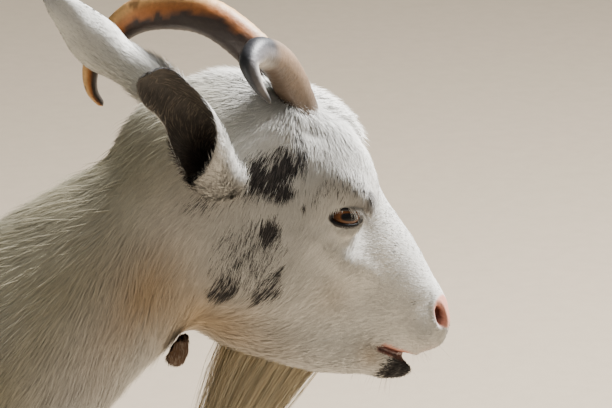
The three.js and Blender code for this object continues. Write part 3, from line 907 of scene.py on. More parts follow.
def finish_skin(body, ears):
    """Joins the body's skin, the ears and the wattles, and stores how the coat grows on them."""
    body_end = len(body.vertices)
    ear_end = body_end + len(ears.vertices)
    place = read_attribute(ears, "place", 3)
    bm = bmesh.new()
    bm.from_mesh(body)
    bm.from_mesh(ears)
    wattles_into(bm)
    mesh = mesh_of(bm, "skin")
    drop(mesh, "place")
    points, normals, edges = points_of(mesh), normals_of(mesh), edges_of(mesh)
    skin, ear, wattle = slice(0, body_end), slice(body_end, ear_end), slice(ear_end, None)

    nodes = nearest_nodes(points[skin])
    way, length, lift = np.zeros_like(points), np.zeros(len(points)), np.zeros(len(points))
    near = edges[(edges < body_end).all(1)]
    way[skin], length[skin], lift[skin] = lie_fields(points[skin], normals[skin], nodes, near)
    colour = np.full((len(points), 4), COAT_ROUGHNESS)
    colour[skin] = skin_colours(points[skin], nodes)
    patch = np.full(len(points), PATCH_NAMES.index("ears"))
    patch[skin] = patch_of(points[skin], nodes)
    growth = np.ones(len(points))
    growth[skin] = (1 - bareness(in_head(points[skin]))) * (nodes != "udder")

    sides = np.sign(in_head(points[ear])[:, 1])
    way[ear], length[ear], lift[ear], colour[ear, :3] = ear_fields(place, normals[ear], sides)
    growth[ear] = (0.7 + 0.7 * eased(place[:, 0], 0.5, 0.3)) * eased(place[:, 0], 0.0, 0.05)

    way[wattle] = (-0.1, 0, -1)
    length[wattle], lift[wattle], growth[wattle] = 5, 9, 5
    colour[wattle, :3] = linear(98, 72, 52)

    tangent = unit(way - normals * dot(way, normals)[:, None])
    for name, values in (("lie", tangent), ("hair", length), ("lift", np.radians(lift)), ("patch", patch),
                         ("growth", growth), ("coat_colour", colour)):
        keep_attribute(mesh, name, values)
    return mesh


# ---------- tufts ----------
TUFT_RISE = 0.7  # of a tuft's ridge, against half its width


def tuft_mesh(name, spine, outward, width, colour, uv):
    """Many tapering locks in one mesh. spine is tufts x rings+1 x 3, from root to tip, in metres;
    outward is the skin's normal at each root. The material darkens each lock a little towards its root, as
    painted shade."""
    count, rings = len(spine), spine.shape[1] - 1
    forward = unit(spine[:, 1] - spine[:, 0])
    side = unit(np.cross(forward, outward))
    over = np.cross(side, forward)
    verts = np.empty((count, rings * 3 + 1, 3))
    normals = np.empty_like(verts)
    along = np.empty((count, rings * 3 + 1))
    patch = np.empty((rings * 3 + 1, 2))
    for ring in range(rings):
        share = ring / rings
        half = (width * (1 - share) ** 0.55 / 2)[:, None]
        for corner, (across, up) in enumerate(((-1, 0), (0, TUFT_RISE), (1, 0))):
            i = ring * 3 + corner
            verts[:, i] = spine[:, ring] + side * half * across + over * half * up
            normals[:, i] = unit(outward * 0.9 + side * across * 0.6)
            along[:, i] = share
            patch[i] = ((across + 1) / 2, share)
    verts[:, -1] = spine[:, -1]
    normals[:, -1] = unit(outward + forward * 0.2)
    along[:, -1] = 1
    patch[-1] = (0.5, 1)

    faces = [(0, 2, 1)]
    for ring in range(rings - 1):
        for corner in range(3):
            a, b = ring * 3 + corner, ring * 3 + (corner + 1) % 3
            faces += [(a, b + 3, a + 3), (a, b, b + 3)]
    last = (rings - 1) * 3
    faces += [(last + c, last + (c + 1) % 3, rings * 3) for c in range(3)]
    faces = np.array(faces)
    stride = rings * 3 + 1
    corners = (faces.reshape(-1)[None, :] + np.arange(count)[:, None] * stride).reshape(-1)

    mesh = bpy.data.meshes.new(name)
    total = count * len(faces)
    mesh.vertices.add(count * stride)
    mesh.vertices.foreach_set("co", verts.astype(np.float32).ravel())
    mesh.loops.add(total * 3)
    mesh.loops.foreach_set("vertex_index", corners.astype(np.int32))
    mesh.polygons.add(total)
    mesh.polygons.foreach_set("loop_start", np.arange(0, total * 3, 3, dtype=np.int32))
    mesh.update(calc_edges=True)
    mesh.polygons.foreach_set("use_smooth", np.ones(total, bool))
    shade = np.concatenate([np.repeat(colour, stride, 0), along.reshape(-1, 1)], 1)
    keep_attribute(mesh, "coat_colour", shade)
    layer = mesh.uv_layers.new(name="OFBake")
    tiled = uv[:, None, :] + patch[faces.reshape(-1)][None, :, :] * PATCH_SIZE
    layer.data.foreach_set("uv", tiled.astype(np.float32).ravel())
    mesh.normals_split_custom_set_from_vertices(normals.reshape(-1, 3).astype(np.float32))
    return mesh


PATCH_SIZE = 0.003  # of each tuft's place on the OFBake map


def unwrapped(points, start, end, up):
    """The place of points on an unwrap of the skin round the line from start to end: turn and share along."""
    start, end = np.array(start, float), np.array(end, float)
    axis = unit(end - start)
    up = unit(np.array(up) - axis * dot(np.array(up), axis))
    side = np.cross(axis, up)
    offset = points - start
    turn = np.arctan2(offset @ side, offset @ up) / (2 * math.pi) + 0.5
    share = np.clip(offset @ axis / np.linalg.norm(end - start), 0, 1)
    return np.stack([turn, share], -1) * (1 - 2 * PATCH_SIZE) + PATCH_SIZE / 2


def outer_corners(names):
    """Lowest and highest corners of some CAD nodes taken together."""
    boxes = [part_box(n) for n in names]
    low = np.min([np.array(b[0]) for b in boxes], 0)
    high = np.max([np.array(b[1]) for b in boxes], 0)
    return low, high


def patch_unwrap(name, points):
    """The OFBake place of each root, on an unwrap of the part of the skin that this piece covers."""
    if name.startswith(("face", "head", "forelock", "brow", "ear_roots")):
        return unwrapped(points, from_head((-60, 0, -45)), from_head((265, 0, -45)), -HEAD_AXES[2])
    if name.startswith("neck"):
        return unwrapped(points, (0.05, 0, 0.58), (0.43, 0.05, 0.85), (0.5, 0, -1))
    if name.startswith(("trunk", "mane")):
        return unwrapped(points, (CAD_BOX[0][0], 0, 0.54), (0.40, 0, 0.54), (0, 0, -1))
    if name == "tail":
        low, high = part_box("tail")
        return unwrapped(points, (high.x, 0, low.z), (low.x, 0, high.z), (0, 1, 0))
    if name == "ears":
        return two_sided(points, in_head(points)[:, 1], from_head((40, 0, -50)), from_head((-120, 0, -30)))
    low, high = outer_corners([n for n in LEG_NAMES if n.startswith(name[:-1])])
    x = (low[0] + high[0]) / 2
    return two_sided(points, points[:, 1], (x, 0, low[2]), (x, 0, high[2]))


def two_sided(points, offset, start, end):
    """An unwrap of a left and a right limb, each on its own half of the map."""
    uv = np.zeros((len(points), 2))
    start, end = np.array(start, float), np.array(end, float)
    for half, sign in enumerate((-1, 1)):
        here = offset * sign > 0
        if here.any():
            axis = unit(end - start)
            shift = points[here].mean(0) - start
            shift = shift - axis * dot(shift, axis)
            turned = unwrapped(points[here], start + shift, end + shift, (1, 0.1, 0))
            uv[here] = turned * [0.5, 1] + [half * 0.5, 0]
    return uv


# Each piece of the coat: tufts, rings in each, width in mm, size of a clump in mm and how far tips gather.
COAT = {
    "face": (49000, 1, 0.85, 5, 0.15),
    "head_right": (49000, 1, 0.85, 7, 0.30),
    "head_left": (28000, 1, 1.15, 7, 0.30),
    "neck_right": (48000, 1, 0.95, 11, 0.36),
    "neck_left": (28000, 1, 1.3, 11, 0.36),
    "trunk_right": (25000, 1, 2.2, 18, 0.40),
    "trunk_left": (25000, 1, 2.2, 18, 0.40),
    "forelegs": (19000, 1, 1.9, 9, 0.25),
    "hindlegs": (20000, 1, 2.1, 9, 0.25),
    "tail": (2600, 3, 1.5, 14, 0.40),
    "ears": (24000, 1, 0.8, 6, 0.15),
    "forelock": (3400, 3, 0.8, 8, 0.45),
    "mane": (3000, 3, 0.8, 10, 0.40),
    "brow": (1300, 2, 0.4, 4, 0.35),
    "ear_roots": (600, 2, 0.6, 7, 0.35),
}
# Locks that stand out of the coat: the middle and half sizes of where they grow and the way they lean, on
# the left of the head's frame, their length in mm and their lift in degrees.
LOCKS = {
    "forelock": ((66, 0, 40), (46, 30, 36), (0.75, 0.1, 0.45), 19, 42),
    "brow": ((106, 47, -7), (16, 11, 7), (0.35, 0.35, -0.85), 10, 36),
    "ear_roots": ((6, 46, -42), (22, 18, 18), (0.05, 0.25, -1), 17, 16),
    "mane": (None, None, (-0.85, 0, -0.3), 26, 22),
}


SUNK = 0.25 * MM  # how far below the skin a tuft starts


def lock_share(name, points, normals):
    """How thickly the locks of one kind grow at each point, from 0 to 1."""
    local = in_head(points)
    if name == "mane":
        along_back = eased(points[:, 0], -0.44, -0.30) * eased(local[:, 0], 0, -16)
        return eased(normals[:, 2], 0.45, 0.85) * along_back * (0.25 + 0.75 * eased(points[:, 0], -0.1, 0.1))
    at, half = (np.array(v) for v in LOCKS[name][:2])
    return eased(np.linalg.norm((folded(local) - at) / half, axis=1), 1.0, 0.6)


def scattered(name, skin, rng, count):
    """Spreads roots evenly over one piece's part of the skin. Gives a function that reads the skin's
    values at the roots, and how thickly the hair grows at each."""
    points, normals = points_of(skin), normals_of(skin)
    patch, growth = read_attribute(skin, "patch"), read_attribute(skin, "growth")
    triangles = triangles_of(skin)
    if name in LOCKS:
        growth = growth * lock_share(name, points, normals) * (patch != PATCH_NAMES.index("ears"))
        triangles = triangles[growth[triangles].min(1) > 0.02]
    else:
        triangles = triangles[np.round(patch[triangles]).min(1) == PATCH_NAMES.index(name)]
    a, b, c = (points[triangles[:, i]] for i in range(3))
    area = np.linalg.norm(np.cross(b - a, c - a), axis=1) * growth[triangles].mean(1)
    total = np.cumsum(area)
    steps = (np.arange(count) + rng.random(count)) / count * total[-1]
    chosen = triangles[np.minimum(np.searchsorted(total, steps), len(triangles) - 1)]
    r, s = np.sqrt(rng.random(count)), rng.random(count)
    weights = np.stack([1 - r, r * (1 - s), r * s], -1)

    def at_root(values):
        picked = values[chosen]
        return (picked * (weights[..., None] if picked.ndim == 3 else weights)).sum(1)

    return at_root, at_root(growth)


def clumped(root, way, size, rng):
    """For each tuft the middle of its clump, and the clump's mean direction."""
    wander = 0.3 * size * rng.normal(0, 1, (len(root), 3)) * 0.5
    cell = np.floor((root + wander) / size).astype(np.int64)
    _, group = np.unique(cell, axis=0, return_inverse=True)
    group = group.ravel()
    members = np.bincount(group)[:, None]

    def mean(values):
        return (np.stack([np.bincount(group, values[:, i]) for i in range(3)], -1) / members)[group]

    return mean(root), unit(mean(way))


def hair_shade(name, ear_colour, root, seen_at, rng):
    """The colour of each tuft, from the coat's where the tuft shows. In a mark, whole tufts are dark."""
    count = len(root)
    if name == "ears":
        shade = ear_colour * rng.uniform(0.75, 1.15, (count, 1))
        pale = (rng.random(count) < 0.3) * (shade.mean(1) < 0.15)
        return blended(shade, linear(168, 154, 138), pale * 0.5)
    shade = plain_colour(seen_at)
    dark = np.clip(darkness(seen_at) * 1.2 - 0.05, 0, 1)
    picked = (rng.random(count) < dark**1.1) & (name != "ear_roots")
    depth = rng.random((count, 1)) ** 2
    shade = np.where(picked[:, None], BLACK * (1 - depth * 0.75) + GREY * depth * 0.75, shade)
    if name == "brow":
        shade = blended(shade, GREY, (rng.random(count) < 0.5) * 0.7)
    light = 1 + 0.07 * ripple(root, 0.006, 31) + rng.normal(0, 0.07, count)
    return blended(shade * light[:, None], LIP_BLACK, rng.random(count) < lower_lip(in_head(root)) ** 0.6)


def grow(name, skin, rng, settings):
    """One piece of the coat, as a mesh of tufts."""
    count, rings, width, clump, gather = COAT[name]
    count = int(count * settings.thickness)
    at_root, shown = scattered(name, skin, rng, count)
    root = at_root(points_of(skin))
    outward = unit(at_root(normals_of(skin)))
    if name in LOCKS:
        lean, reach_out, rise = LOCKS[name][2:]
        mirror = columns(1, np.sign(in_head(root)[:, 1]), 1)
        way = np.tile(lean, (count, 1)) if name == "mane" else (lean * mirror) @ HEAD_AXES
        length = np.full(count, reach_out * MM * settings.hair_length)
        lift = np.full(count, math.radians(rise))
        shown = np.clip(shown * 2, 0.5, 1)
    else:
        way = at_root(read_attribute(skin, "lie", 3))
        length = at_root(read_attribute(skin, "hair")) * MM * settings.hair_length
        lift = at_root(read_attribute(skin, "lift"))
    way = unit(way - outward * dot(way, outward)[:, None])
    turn = 0.22 * ripple(root, 0.014, 21) + 0.14 * ripple(root, 0.045, 22) + rng.normal(0, 0.13, count)
    way = way * np.cos(turn)[:, None] + np.cross(outward, way) * np.sin(turn)[:, None]
    length = length * rng.uniform(0.6, 1.2, count) * np.clip(shown * 1.6, 0.35, 1)
    lift = lift * rng.uniform(0.5, 1.5, count) + 0.05 * ripple(root, 0.02, 23)
    heart, ways = clumped(root, way, clump * MM, rng)

    start = way * np.cos(lift)[:, None] + outward * np.sin(lift)[:, None]
    tip = root + start * length[:, None] - outward * (0.45 * np.sin(lift) * length)[:, None]
    gathered = heart + ways * length[:, None] + outward * dot(tip - heart, outward)[:, None]
    gathered -= outward * dot(ways * length[:, None], outward)[:, None]
    tip = blended(tip, gathered, gather * rng.uniform(0.3, 1.2, count))
    spine = np.empty((count, rings + 1, 3))
    for ring in range(rings + 1):
        t = ring / rings
        straight = root + start * (length * t)[:, None]
        spine[:, ring] = blended(straight, root + (tip - root) * t, t) - outward * SUNK
    widths = width * MM * rng.uniform(0.7, 1.25, count) * settings.hair_width
    widths = np.minimum(widths, length * 0.3)
    ear_colour = at_root(read_attribute(skin, "coat_colour", 4))[:, :3]
    shade = hair_shade(name, ear_colour, root, root + (tip - root) * 0.45, rng)
    uv = patch_unwrap(name, root)
    return tuft_mesh(f"coat_{name}", spine, outward, widths, np.clip(shade, 0, 1), uv)


# ---------- long hair: beard, lashes and whiskers ----------
# The beard's centre line, with half its width across and half its depth along the jaw.
BEARD_LINE = [
    (146, 0, -86, 14, 42), (146, 0, -120, 14, 38), (148, 0, -152, 13, 33),
    (152, 0, -186, 11, 24), (157, 0, -214, 7, 14), (161, 0, -234, 3, 5),
]


BEARD_STRANDS, BEARD_STEPS = 3200, 40


def beard_mesh(rng, settings):
    count, rings = int(BEARD_STRANDS * settings.thickness), 4
    line = smooth_row(BEARD_LINE, BEARD_STEPS)
    turn, reach = rng.uniform(0, 2 * math.pi, count), rng.random(count) ** 0.6 * rng.uniform(0.8, 1.18, count)
    long = rng.uniform(0.3, 1.0, count) ** 0.7
    sway = rng.normal(0, 1, (count, 3))
    lock = ripple(columns(np.cos(turn) * reach * 3, np.sin(turn) * reach * 2, 0), 0.7, 61)
    spine = np.empty((count, rings + 1, 3))
    for ring in range(rings + 1):
        t = long * ring / rings
        row = np.stack([np.interp(t, np.linspace(0, 1, BEARD_STEPS), line[:, i]) for i in range(5)], -1)
        wave = 4.0 * np.sin(t[:, None] * 6 + sway * 1.5) * t[:, None]
        wave = wave + 6.0 * (t * lock)[:, None] * [1, 0.5, 0]
        offset = columns(np.cos(turn) * row[:, 4] * reach, np.sin(turn) * row[:, 3] * reach, 0)
        spine[:, ring] = from_head(row[:, :3] + offset + wave)
    root = spine[:, 0]
    outward = unit(columns(np.cos(turn) * 0.5, np.sin(turn) * 1.5, 0.2) @ HEAD_AXES)
    shade = blended(CREAM * [1, 1, 1.15], TAN, rng.uniform(0.0, 0.3, count))
    shade = shade * (1 + 0.12 * lock[:, None])
    width = rng.uniform(0.35, 0.7, count) * MM * settings.hair_width
    uv = unwrapped(root, from_head((90, 0, -92)), from_head((190, 0, -92)), HEAD_AXES[2])
    return tuft_mesh("beard_hair", spine, outward, width, np.clip(shade, 0, 1), uv)


LASHES = 165  # round each eye
STRAND_WIDTH = 0.22 * MM  # of a lash or a whisker


def lash_mesh(rng):
    """Pale lashes that droop from the upper lids, most of them to the front, and short ones below."""
    spines, outs = [], []
    for side in SIDES.values():
        for _ in range(LASHES):
            upper = rng.random() < 0.82
            u = HALF_OPEN * (1.1 - 1.25 * rng.random() ** 1.6) - LID_BACK if upper else rng.uniform(-10, 9)
            along = min(abs(u + LID_BACK) / HALF_OPEN, 1)
            v = (LID_RISE if upper else -LID_FALL) * math.sqrt(1 - along**2.4) + LID_UP
            v += rng.uniform(0, 2.2) if upper else 0
            out = EYE_RADIUS + 1.9
            root = np.array([u, v, math.sqrt(max(out**2 - u * u - v * v, 1))])
            length = rng.uniform(6, 12) if upper else rng.uniform(2.0, 3.8)
            if upper:
                way = np.array([0.30 + rng.normal(0, 0.18), 0.05, 0.85])
                drop = np.array([0.30 + rng.normal(0, 0.28), -1.15 + rng.normal(0, 0.15), -0.1])
            else:
                way = np.array([-0.1 + rng.normal(0, 0.15), -0.5, 0.8])
                drop = np.array([-0.1, -0.6, -0.1])
            line = [root + way * length * t * 0.7 + drop * length * t * t * 0.85 for t in (0, 0.35, 0.7, 1)]
            spines.append(from_head(from_eye_plane(np.array(line), side)))
            outs.append(EYE_OUT * [1, side, 1] @ HEAD_AXES)
    spine, outward = np.array(spines), np.array(outs)
    count = len(spine)
    shade = blended(WHITE, GREY, rng.uniform(0, 0.7, count))
    uv = unwrapped(spine[:, 0], from_head((90, 0, -26)), from_head((120, 0, -26)), HEAD_AXES[2])
    return tuft_mesh("lashes", spine, outward, np.full(count, STRAND_WIDTH), shade, uv)


# Where single long hairs grow: place on the right side of the head, way, length in mm, how many.
WHISKERS = [
    ((104, 52, -46), (-0.1, 0.35, -1), 32, 5),
    ((225, 27, -60), (0.2, 0.8, -0.6), 18, 9),
    ((240, 10, -96), (0.5, 0.3, -1), 16, 8),
    ((85, 55, -40), (-0.2, 0.4, -1), 22, 3),
    ((250, 14, -66), (0.9, 0.4, -0.3), 14, 5),
]


WHISKER_DROOP = np.array([0, 0, -0.25])


def whisker_mesh(skin, rng):
    tree = BVHTree.FromPolygons([v.co for v in skin.vertices], [p.vertices for p in skin.polygons])
    spines, outs = [], []
    for side in SIDES.values():
        for at, way, length, count in WHISKERS:
            for _ in range(count):
                place = np.array(at) + rng.normal(0, 5, 3)
                co, normal, _, _ = tree.find_nearest(Vector(from_head(place * [1, side, 1])))
                line_way = (unit(np.array(way) + rng.normal(0, 0.15, 3)) * [1, side, 1]) @ HEAD_AXES
                real = length * rng.uniform(0.6, 1.1) * MM
                line = [(line_way * t + WHISKER_DROOP * t * t) * real for t in (0, 0.3, 0.65, 1)]
                spines.append([np.array(co) + step for step in line])
                outs.append(np.array(normal))
    spine, outward = np.array(spines), np.array(outs)
    shade = np.tile(WHITE, (len(spine), 1))
    uv = unwrapped(spine[:, 0], from_head((60, 0, -45)), from_head((265, 0, -45)), -HEAD_AXES[2])
    return tuft_mesh("whiskers", spine, outward, np.full(len(spine), STRAND_WIDTH), shade, uv)


# ---------- horns ----------
# Centre lines in the head's frame, with half the width across, then the reach to the inner side of the
# curl and to the outer side.
HORNS = {
    "right": [
        (58, -20, -14, 11, 13, 14), (48, -22, 10, 11, 13, 14), (29, -27, 21, 10.5, 12, 13),
        (3, -38, 28, 10, 11, 12), (-23, -54, 27, 9, 10, 10.5), (-40, -68, 21, 8, 8.5, 9),
        (-45, -78, 12, 6.2, 6, 6.5), (-37, -84, 5, 4, 4.2, 4.4), (-20, -85, 0, 1.2, 1.2, 1.2),
    ],
    "left": [
        (62, 20, -14, 11, 13, 14), (54, 22, 12, 11, 13, 14), (42, 27, 28, 11, 13, 13.5),
        (15, 38, 36, 10.5, 12.5, 13), (-8, 54, 35, 10, 12, 13.5), (-21, 70, 26, 9.5, 11.5, 14),
        (-32, 82, 12, 8.5, 10.5, 14.5), (-36, 92, -12, 7, 8, 10.5), (-31, 98, -35, 5, 5.5, 6),
        (-21, 99, -45, 3.6, 4, 4), (-8, 98, -49, 2.0, 2.2, 2.2),
    ],
}
HORN_STEPS = 150
HORN_AROUND = 28


def horn_mesh(side, settings):
    rows = smooth_row(HORNS[side], HORN_STEPS)
    centre, sizes = rows[:, :3], rows[:, 3:]
    tangent = unit(np.gradient(centre, axis=0))
    across = unit(np.array([0, 1, 0]) - tangent * tangent[:, 1:2])
    rise = np.cross(tangent, across)
    length = np.concatenate([[0], np.cumsum(np.linalg.norm(np.diff(centre, axis=0), axis=1))])
    t = length / length[-1]
    angle = np.arange(HORN_AROUND) / HORN_AROUND * 2 * math.pi
    spacing = settings.horn_ring_spacing / MM
    ring_depth = 0.022 if side == "left" else 0.012
    sway = ripple(columns(length, 0, 0), 14, 41)
    phase = (length / spacing + 0.5 * sway) % 1
    ridge = (np.abs(phase - 0.35) < 0.3) * np.cos((phase - 0.35) / 0.3 * math.pi / 2) ** 2
    fade = eased(t, 0.02, 0.08) * eased(t, 0.85, 0.45)
    rings, place = [], []
    for a in angle:
        up = np.where(math.cos(a) > 0, sizes[:, 1], sizes[:, 2])
        swell = 1 + ring_depth * (ridge - 0.4) * fade * (0.6 + 0.4 * math.cos(a) ** 2)
        swell = swell + 0.014 * ripple(columns(length / 9, 3 * a, 0), 1, 42)
        end = np.sqrt(np.clip((1 - t) / 0.012, 0.02, 1))
        co = across * (sizes[:, 0] * math.sin(a) * swell * end)[:, None]
        co = co + rise * (up * math.cos(a) * swell * end)[:, None]
        rings.append(centre + co)
        place.append(columns(t, math.cos(a), math.sin(a)))
    bm = bmesh.new()
    tube(bm, from_head(np.stack(rings, 1)), np.stack(place, 1))
    mesh = mesh_of(bm, f"horn_{side}")
    keep_attribute(mesh, "coat_colour", horn_colours(side, *read_attribute(mesh, "place", 3).T))
    drop(mesh, "place")
    return mesh


def horn_colours(side, t, inner, across):
    """Colours along the horn and round it, with painted highlight on the right horn's claw and on the outside
    of the left horn's curl. inner is 1 on the inside of the curl and -1 on its outside.
    """
    noise = ripple(columns(t * 60, across * 2, inner * 2), 1, 51)
    if side == "left":
        band = eased(inner + 0.25 * noise, -0.08, -0.45)
        # orange on the outside of the curl, lightening towards its outermost edge: partly the horn's own
        # colour, partly painted highlight
        orange_with_painted_highlight = blended(linear(176, 106, 48), linear(226, 176, 112), eased(inner, -0.5, -0.95))
        marks = (ripple(columns(t * 26, inner, across), 1, 52) > 0.35) * band * eased(t, 0.2, 0.5)
        colour = linear(52, 40, 34)
        coats = (
            (orange_with_painted_highlight, band),
            # cream near the root on the outside of the curl: painted highlight
            (linear(226, 212, 184), eased(t, 0.42, 0.12) * eased(inner, -0.2, -0.8)),
            (linear(92, 54, 30), marks * 0.6),
            (linear(52, 44, 36), eased(t, 0.84, 0.95) * eased(inner, -0.7, 0.1)),
        )
    else:
        # the claw: dark on the outside of the curl and grey-brown across, with a pale painted highlight along
        # the inside of the curl
        claw_with_painted_highlight = blended(linear(40, 40, 44), linear(120, 116, 116), eased(inner, -0.75, -0.25))
        claw_with_painted_highlight = blended(claw_with_painted_highlight, linear(196, 188, 178), eased(inner, 0.1, 0.75))
        colour = linear(96, 80, 66)
        coats = (
            (linear(146, 120, 96), eased(t, 0.18, 0.42) * eased(inner + 0.4 * noise, 0.9, -0.5)),
            (claw_with_painted_highlight, eased(t, 0.56, 0.68)),
            (linear(40, 40, 44), eased(t, 0.90, 0.99)),
        )
    for other, share in coats + ((linear(92, 74, 60), eased(t, 0.16, 0.04) * 0.6),):
        colour = blended(colour, other, share)
    colour = colour * (1 + 0.14 * noise)[:, None]
    return columns(*np.clip(colour, 0, 1).T, t)


# ---------- eyes ----------
CORNEA_RISE = 0.8
PUPIL_HALF = (0.42, 0.17)  # half its length and height, against the eyeball's radius
GAZE = unit([-0.22, 0.14, 1])  # where the iris is turned, on the axes of the lids' opening
GAZE_LEVEL = unit(np.array([1, 0, 0]) - GAZE * GAZE[0])
GAZE_AXES = np.array([GAZE_LEVEL, np.cross(GAZE, GAZE_LEVEL), GAZE])


def eye_mesh(side):
    """One eyeball with its clear front swelling a little; each vertex keeps its place on the eye."""
    sign = SIDES[side]
    bm = bmesh.new()
    bmesh.ops.create_uvsphere(bm, u_segments=48, v_segments=40, radius=1)
    layer = bm.verts.layers.float_vector.new("place")
    for vert in bm.verts:
        u, v, w = vert.co
        front = eased(np.array(w), 0.82, 0.98)
        vert[layer] = (u, v, w)
        reach = EYE_RADIUS + CORNEA_RISE * float(front)
        vert.co = from_head(from_eye_plane(np.array([u, v, w]) @ GAZE_AXES * reach, sign))
    mesh = mesh_of(bm, f"eye_{side}")
    keep_attribute(mesh, "eye_place", read_attribute(mesh, "place", 3))
    drop(mesh, "place")
    return mesh


def lid_edge_mesh():
    """The dark bare rims of the lids, thicker at the rear corner and below."""
    bm = bmesh.new()
    steps, around = 72, 10
    turn = np.arange(steps) / steps * 2 * math.pi
    for side in SIDES.values():
        c, s = np.cos(turn), np.sin(turn)
        u = HALF_OPEN * np.sign(c) * np.abs(c) ** (2 / 2.4) - LID_BACK
        v = np.where(s > 0, LID_RISE, LID_FALL) * s + LID_UP
        out = EYE_RADIUS + 1.1
        w = np.sqrt(np.maximum(out**2 - u**2 - v**2, 1))
        path = np.stack([u, v, w], -1)
        tangent = unit(np.roll(path, -1, 0) - np.roll(path, 1, 0))
        radial = unit(path)
        beside = np.cross(tangent, radial)
        thick = 1.15 + 0.5 * np.maximum(-s, 0) + 0.8 * np.maximum(-c, 0) ** 2
        rings = []
        for a in np.arange(around) / around * 2 * math.pi:
            raised = radial * (thick * 0.85 * math.cos(a))[:, None]
            rings.append(path + raised + beside * (thick * math.sin(a))[:, None])
        loop = from_head(from_eye_plane(np.stack(rings, 1), side))
        loop = np.concatenate([loop, loop[:1]])
        tube(bm, loop, np.zeros(loop.shape), ends=False)
        bmesh.ops.remove_doubles(bm, verts=bm.verts, dist=WELD)
    mesh = mesh_of(bm, "lid_edges")
    drop(mesh, "place")
    return mesh


# ---------- hooves ----------
HOOF_NODES = tuple(f"hoof_{leg}_{part}" for leg in LEG_NAMES for part in ("outer", "inner"))


def hoof_mesh(leg):
    """Both claws of one foot: walls that lean to the toe, with growth lines and an eased edge."""
    bm = bmesh.new()
    around, steps = 32, 26
    for part in ("outer", "inner"):
        low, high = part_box(f"hoof_{leg}_{part}")
        x, y = (low.x + high.x) / 2, (low.y + high.y) / 2
        wide = (high.y - low.y) / 2
        angle = np.arange(around) / around * 2 * math.pi
        rings = []
        for i in range(steps):
            share = i / (steps - 1)
            z = low.z + share * (high.z - low.z)
            half = ramp(share, [(0, 26.4), (0.04, 27), (0.3, 26), (0.68, 23), (1, 20)]) * MM
            back = -7 * MM * share**1.3
            girth = wide * ramp(share, [(0, 0.93), (0.05, 0.98), (0.5, 0.98), (1, 0.88)])
            line = 1 + 0.012 * math.sin(share * 34 + 0.6 * math.sin(share * 9)) * (0.04 < share < 0.96)
            forward = np.cos(angle)
            taper = np.where(forward > 0, 1 - 0.45 * forward**2, 1)
            ring = np.stack([x + back + half * line * forward, y + girth * line * taper * np.sin(angle),
                             np.full(around, z)], -1)
            rings.append(ring)
        tube(bm, np.stack(rings), np.zeros((steps, around, 3)))
    mesh = mesh_of(bm, f"hooves_{leg}")
    drop(mesh, "place")
    return mesh


# ---------- materials ----------
class Nodes:
    """A node tree, with short ways to add to it."""

    def __init__(self, tree):
        self.nodes, self.links = tree.nodes, tree.links

    def feed(self, node, inputs):
        """Sets or links a node's inputs, given by name or number."""
        for key, value in inputs.items():
            if isinstance(value, bpy.types.NodeSocket):
                self.links.new(value, node.inputs[key])
            else:
                node.inputs[key].default_value = value

    def add(self, kind, inputs, result=0, **looks):
        """Adds a node and gives one of its outputs, or all of them where result is None."""
        node = self.nodes.new("ShaderNode" + kind)
        for key, value in looks.items():
            setattr(node, key, value)
        self.feed(node, inputs)
        return node.outputs if result is None else node.outputs[result]

    def math(self, operation, *terms, kind="Math"):
        return self.add(kind, dict(enumerate(terms)), operation=operation)

    def scaled(self, colour, factor):
        return self.add("VectorMath", {0: colour, "Scale": factor}, operation="SCALE")

    def attribute(self, name):
        return self.add("Attribute", {}, None, attribute_name=name)

    def grained(self, colour, scale, depth, bump, stretch=(1, 1, 1)):
        """A shader's inputs, for a colour that passes through the grain group and a bump so many mm high."""
        grain = self.add("Group", {"Color": colour, "Scale": scale, "Depth": depth, "Stretch": stretch}, None,
                         node_tree=bpy.data.node_groups["grain"])
        fed = {"Base Color": grain["Color"]}
        if bump:
            height = {"Height": grain["Height"], "Distance": bump * MM, "Strength": 0.6}
            fed["Normal"] = self.add("Bump", height)
        return fed


def grain_group():
    """Fine uneven grain: lightens and darkens a colour, and gives a height for a bump."""
    group = bpy.data.node_groups.new("grain", "ShaderNodeTree")
    for label, kind, default in (("Color", "Color", (0.8, 0.8, 0.8, 1)), ("Scale", "Float", 600.0),
                                 ("Depth", "Float", 0.3), ("Stretch", "Vector", (1, 1, 1))):
        socket = group.interface.new_socket(label, in_out="INPUT", socket_type=f"NodeSocket{kind}")
        socket.default_value = default
    for label, kind in (("Color", "Color"), ("Height", "Float")):
        group.interface.new_socket(label, in_out="OUTPUT", socket_type=f"NodeSocket{kind}")
    tree = Nodes(group)
    given = group.nodes.new("NodeGroupInput").outputs
    where = tree.add("TexCoord", {}, "Object")
    stretched = tree.math("MULTIPLY", where, given["Stretch"], kind="VectorMath")
    fine = tree.add("TexNoise", {"Vector": stretched, "Scale": given["Scale"], "Detail": 4.0})
    broad = tree.add("TexNoise", {"Vector": where, "Scale": 38.0, "Detail": 3.0})
    level = tree.add("MapRange", {"Value": tree.math("ADD", fine, broad), "From Min": 0.6, "From Max": 1.4,
                                  "To Min": -0.5, "To Max": 0.5})
    tint = tree.scaled(given["Color"], tree.math("MULTIPLY_ADD", level, given["Depth"], 1.0))
    tree.feed(group.nodes.new("NodeGroupOutput"), {"Color": tint, "Height": fine})


def material(name, looks, build):
    """A shader with some inputs set, and others fed by what build makes on its node tree."""
    made = bpy.data.materials.new(name)
    made.use_nodes = True
    made.node_tree.nodes.clear()
    made.diffuse_color = (0.8, 0.78, 0.7, 1)
    tree = Nodes(made.node_tree)
    shader = made.node_tree.nodes.new("ShaderNodeBsdfPrincipled")
    tree.feed(shader, looks | build(tree))
    tree.add("OutputMaterial", {0: shader.outputs[0]}, None)
    return made


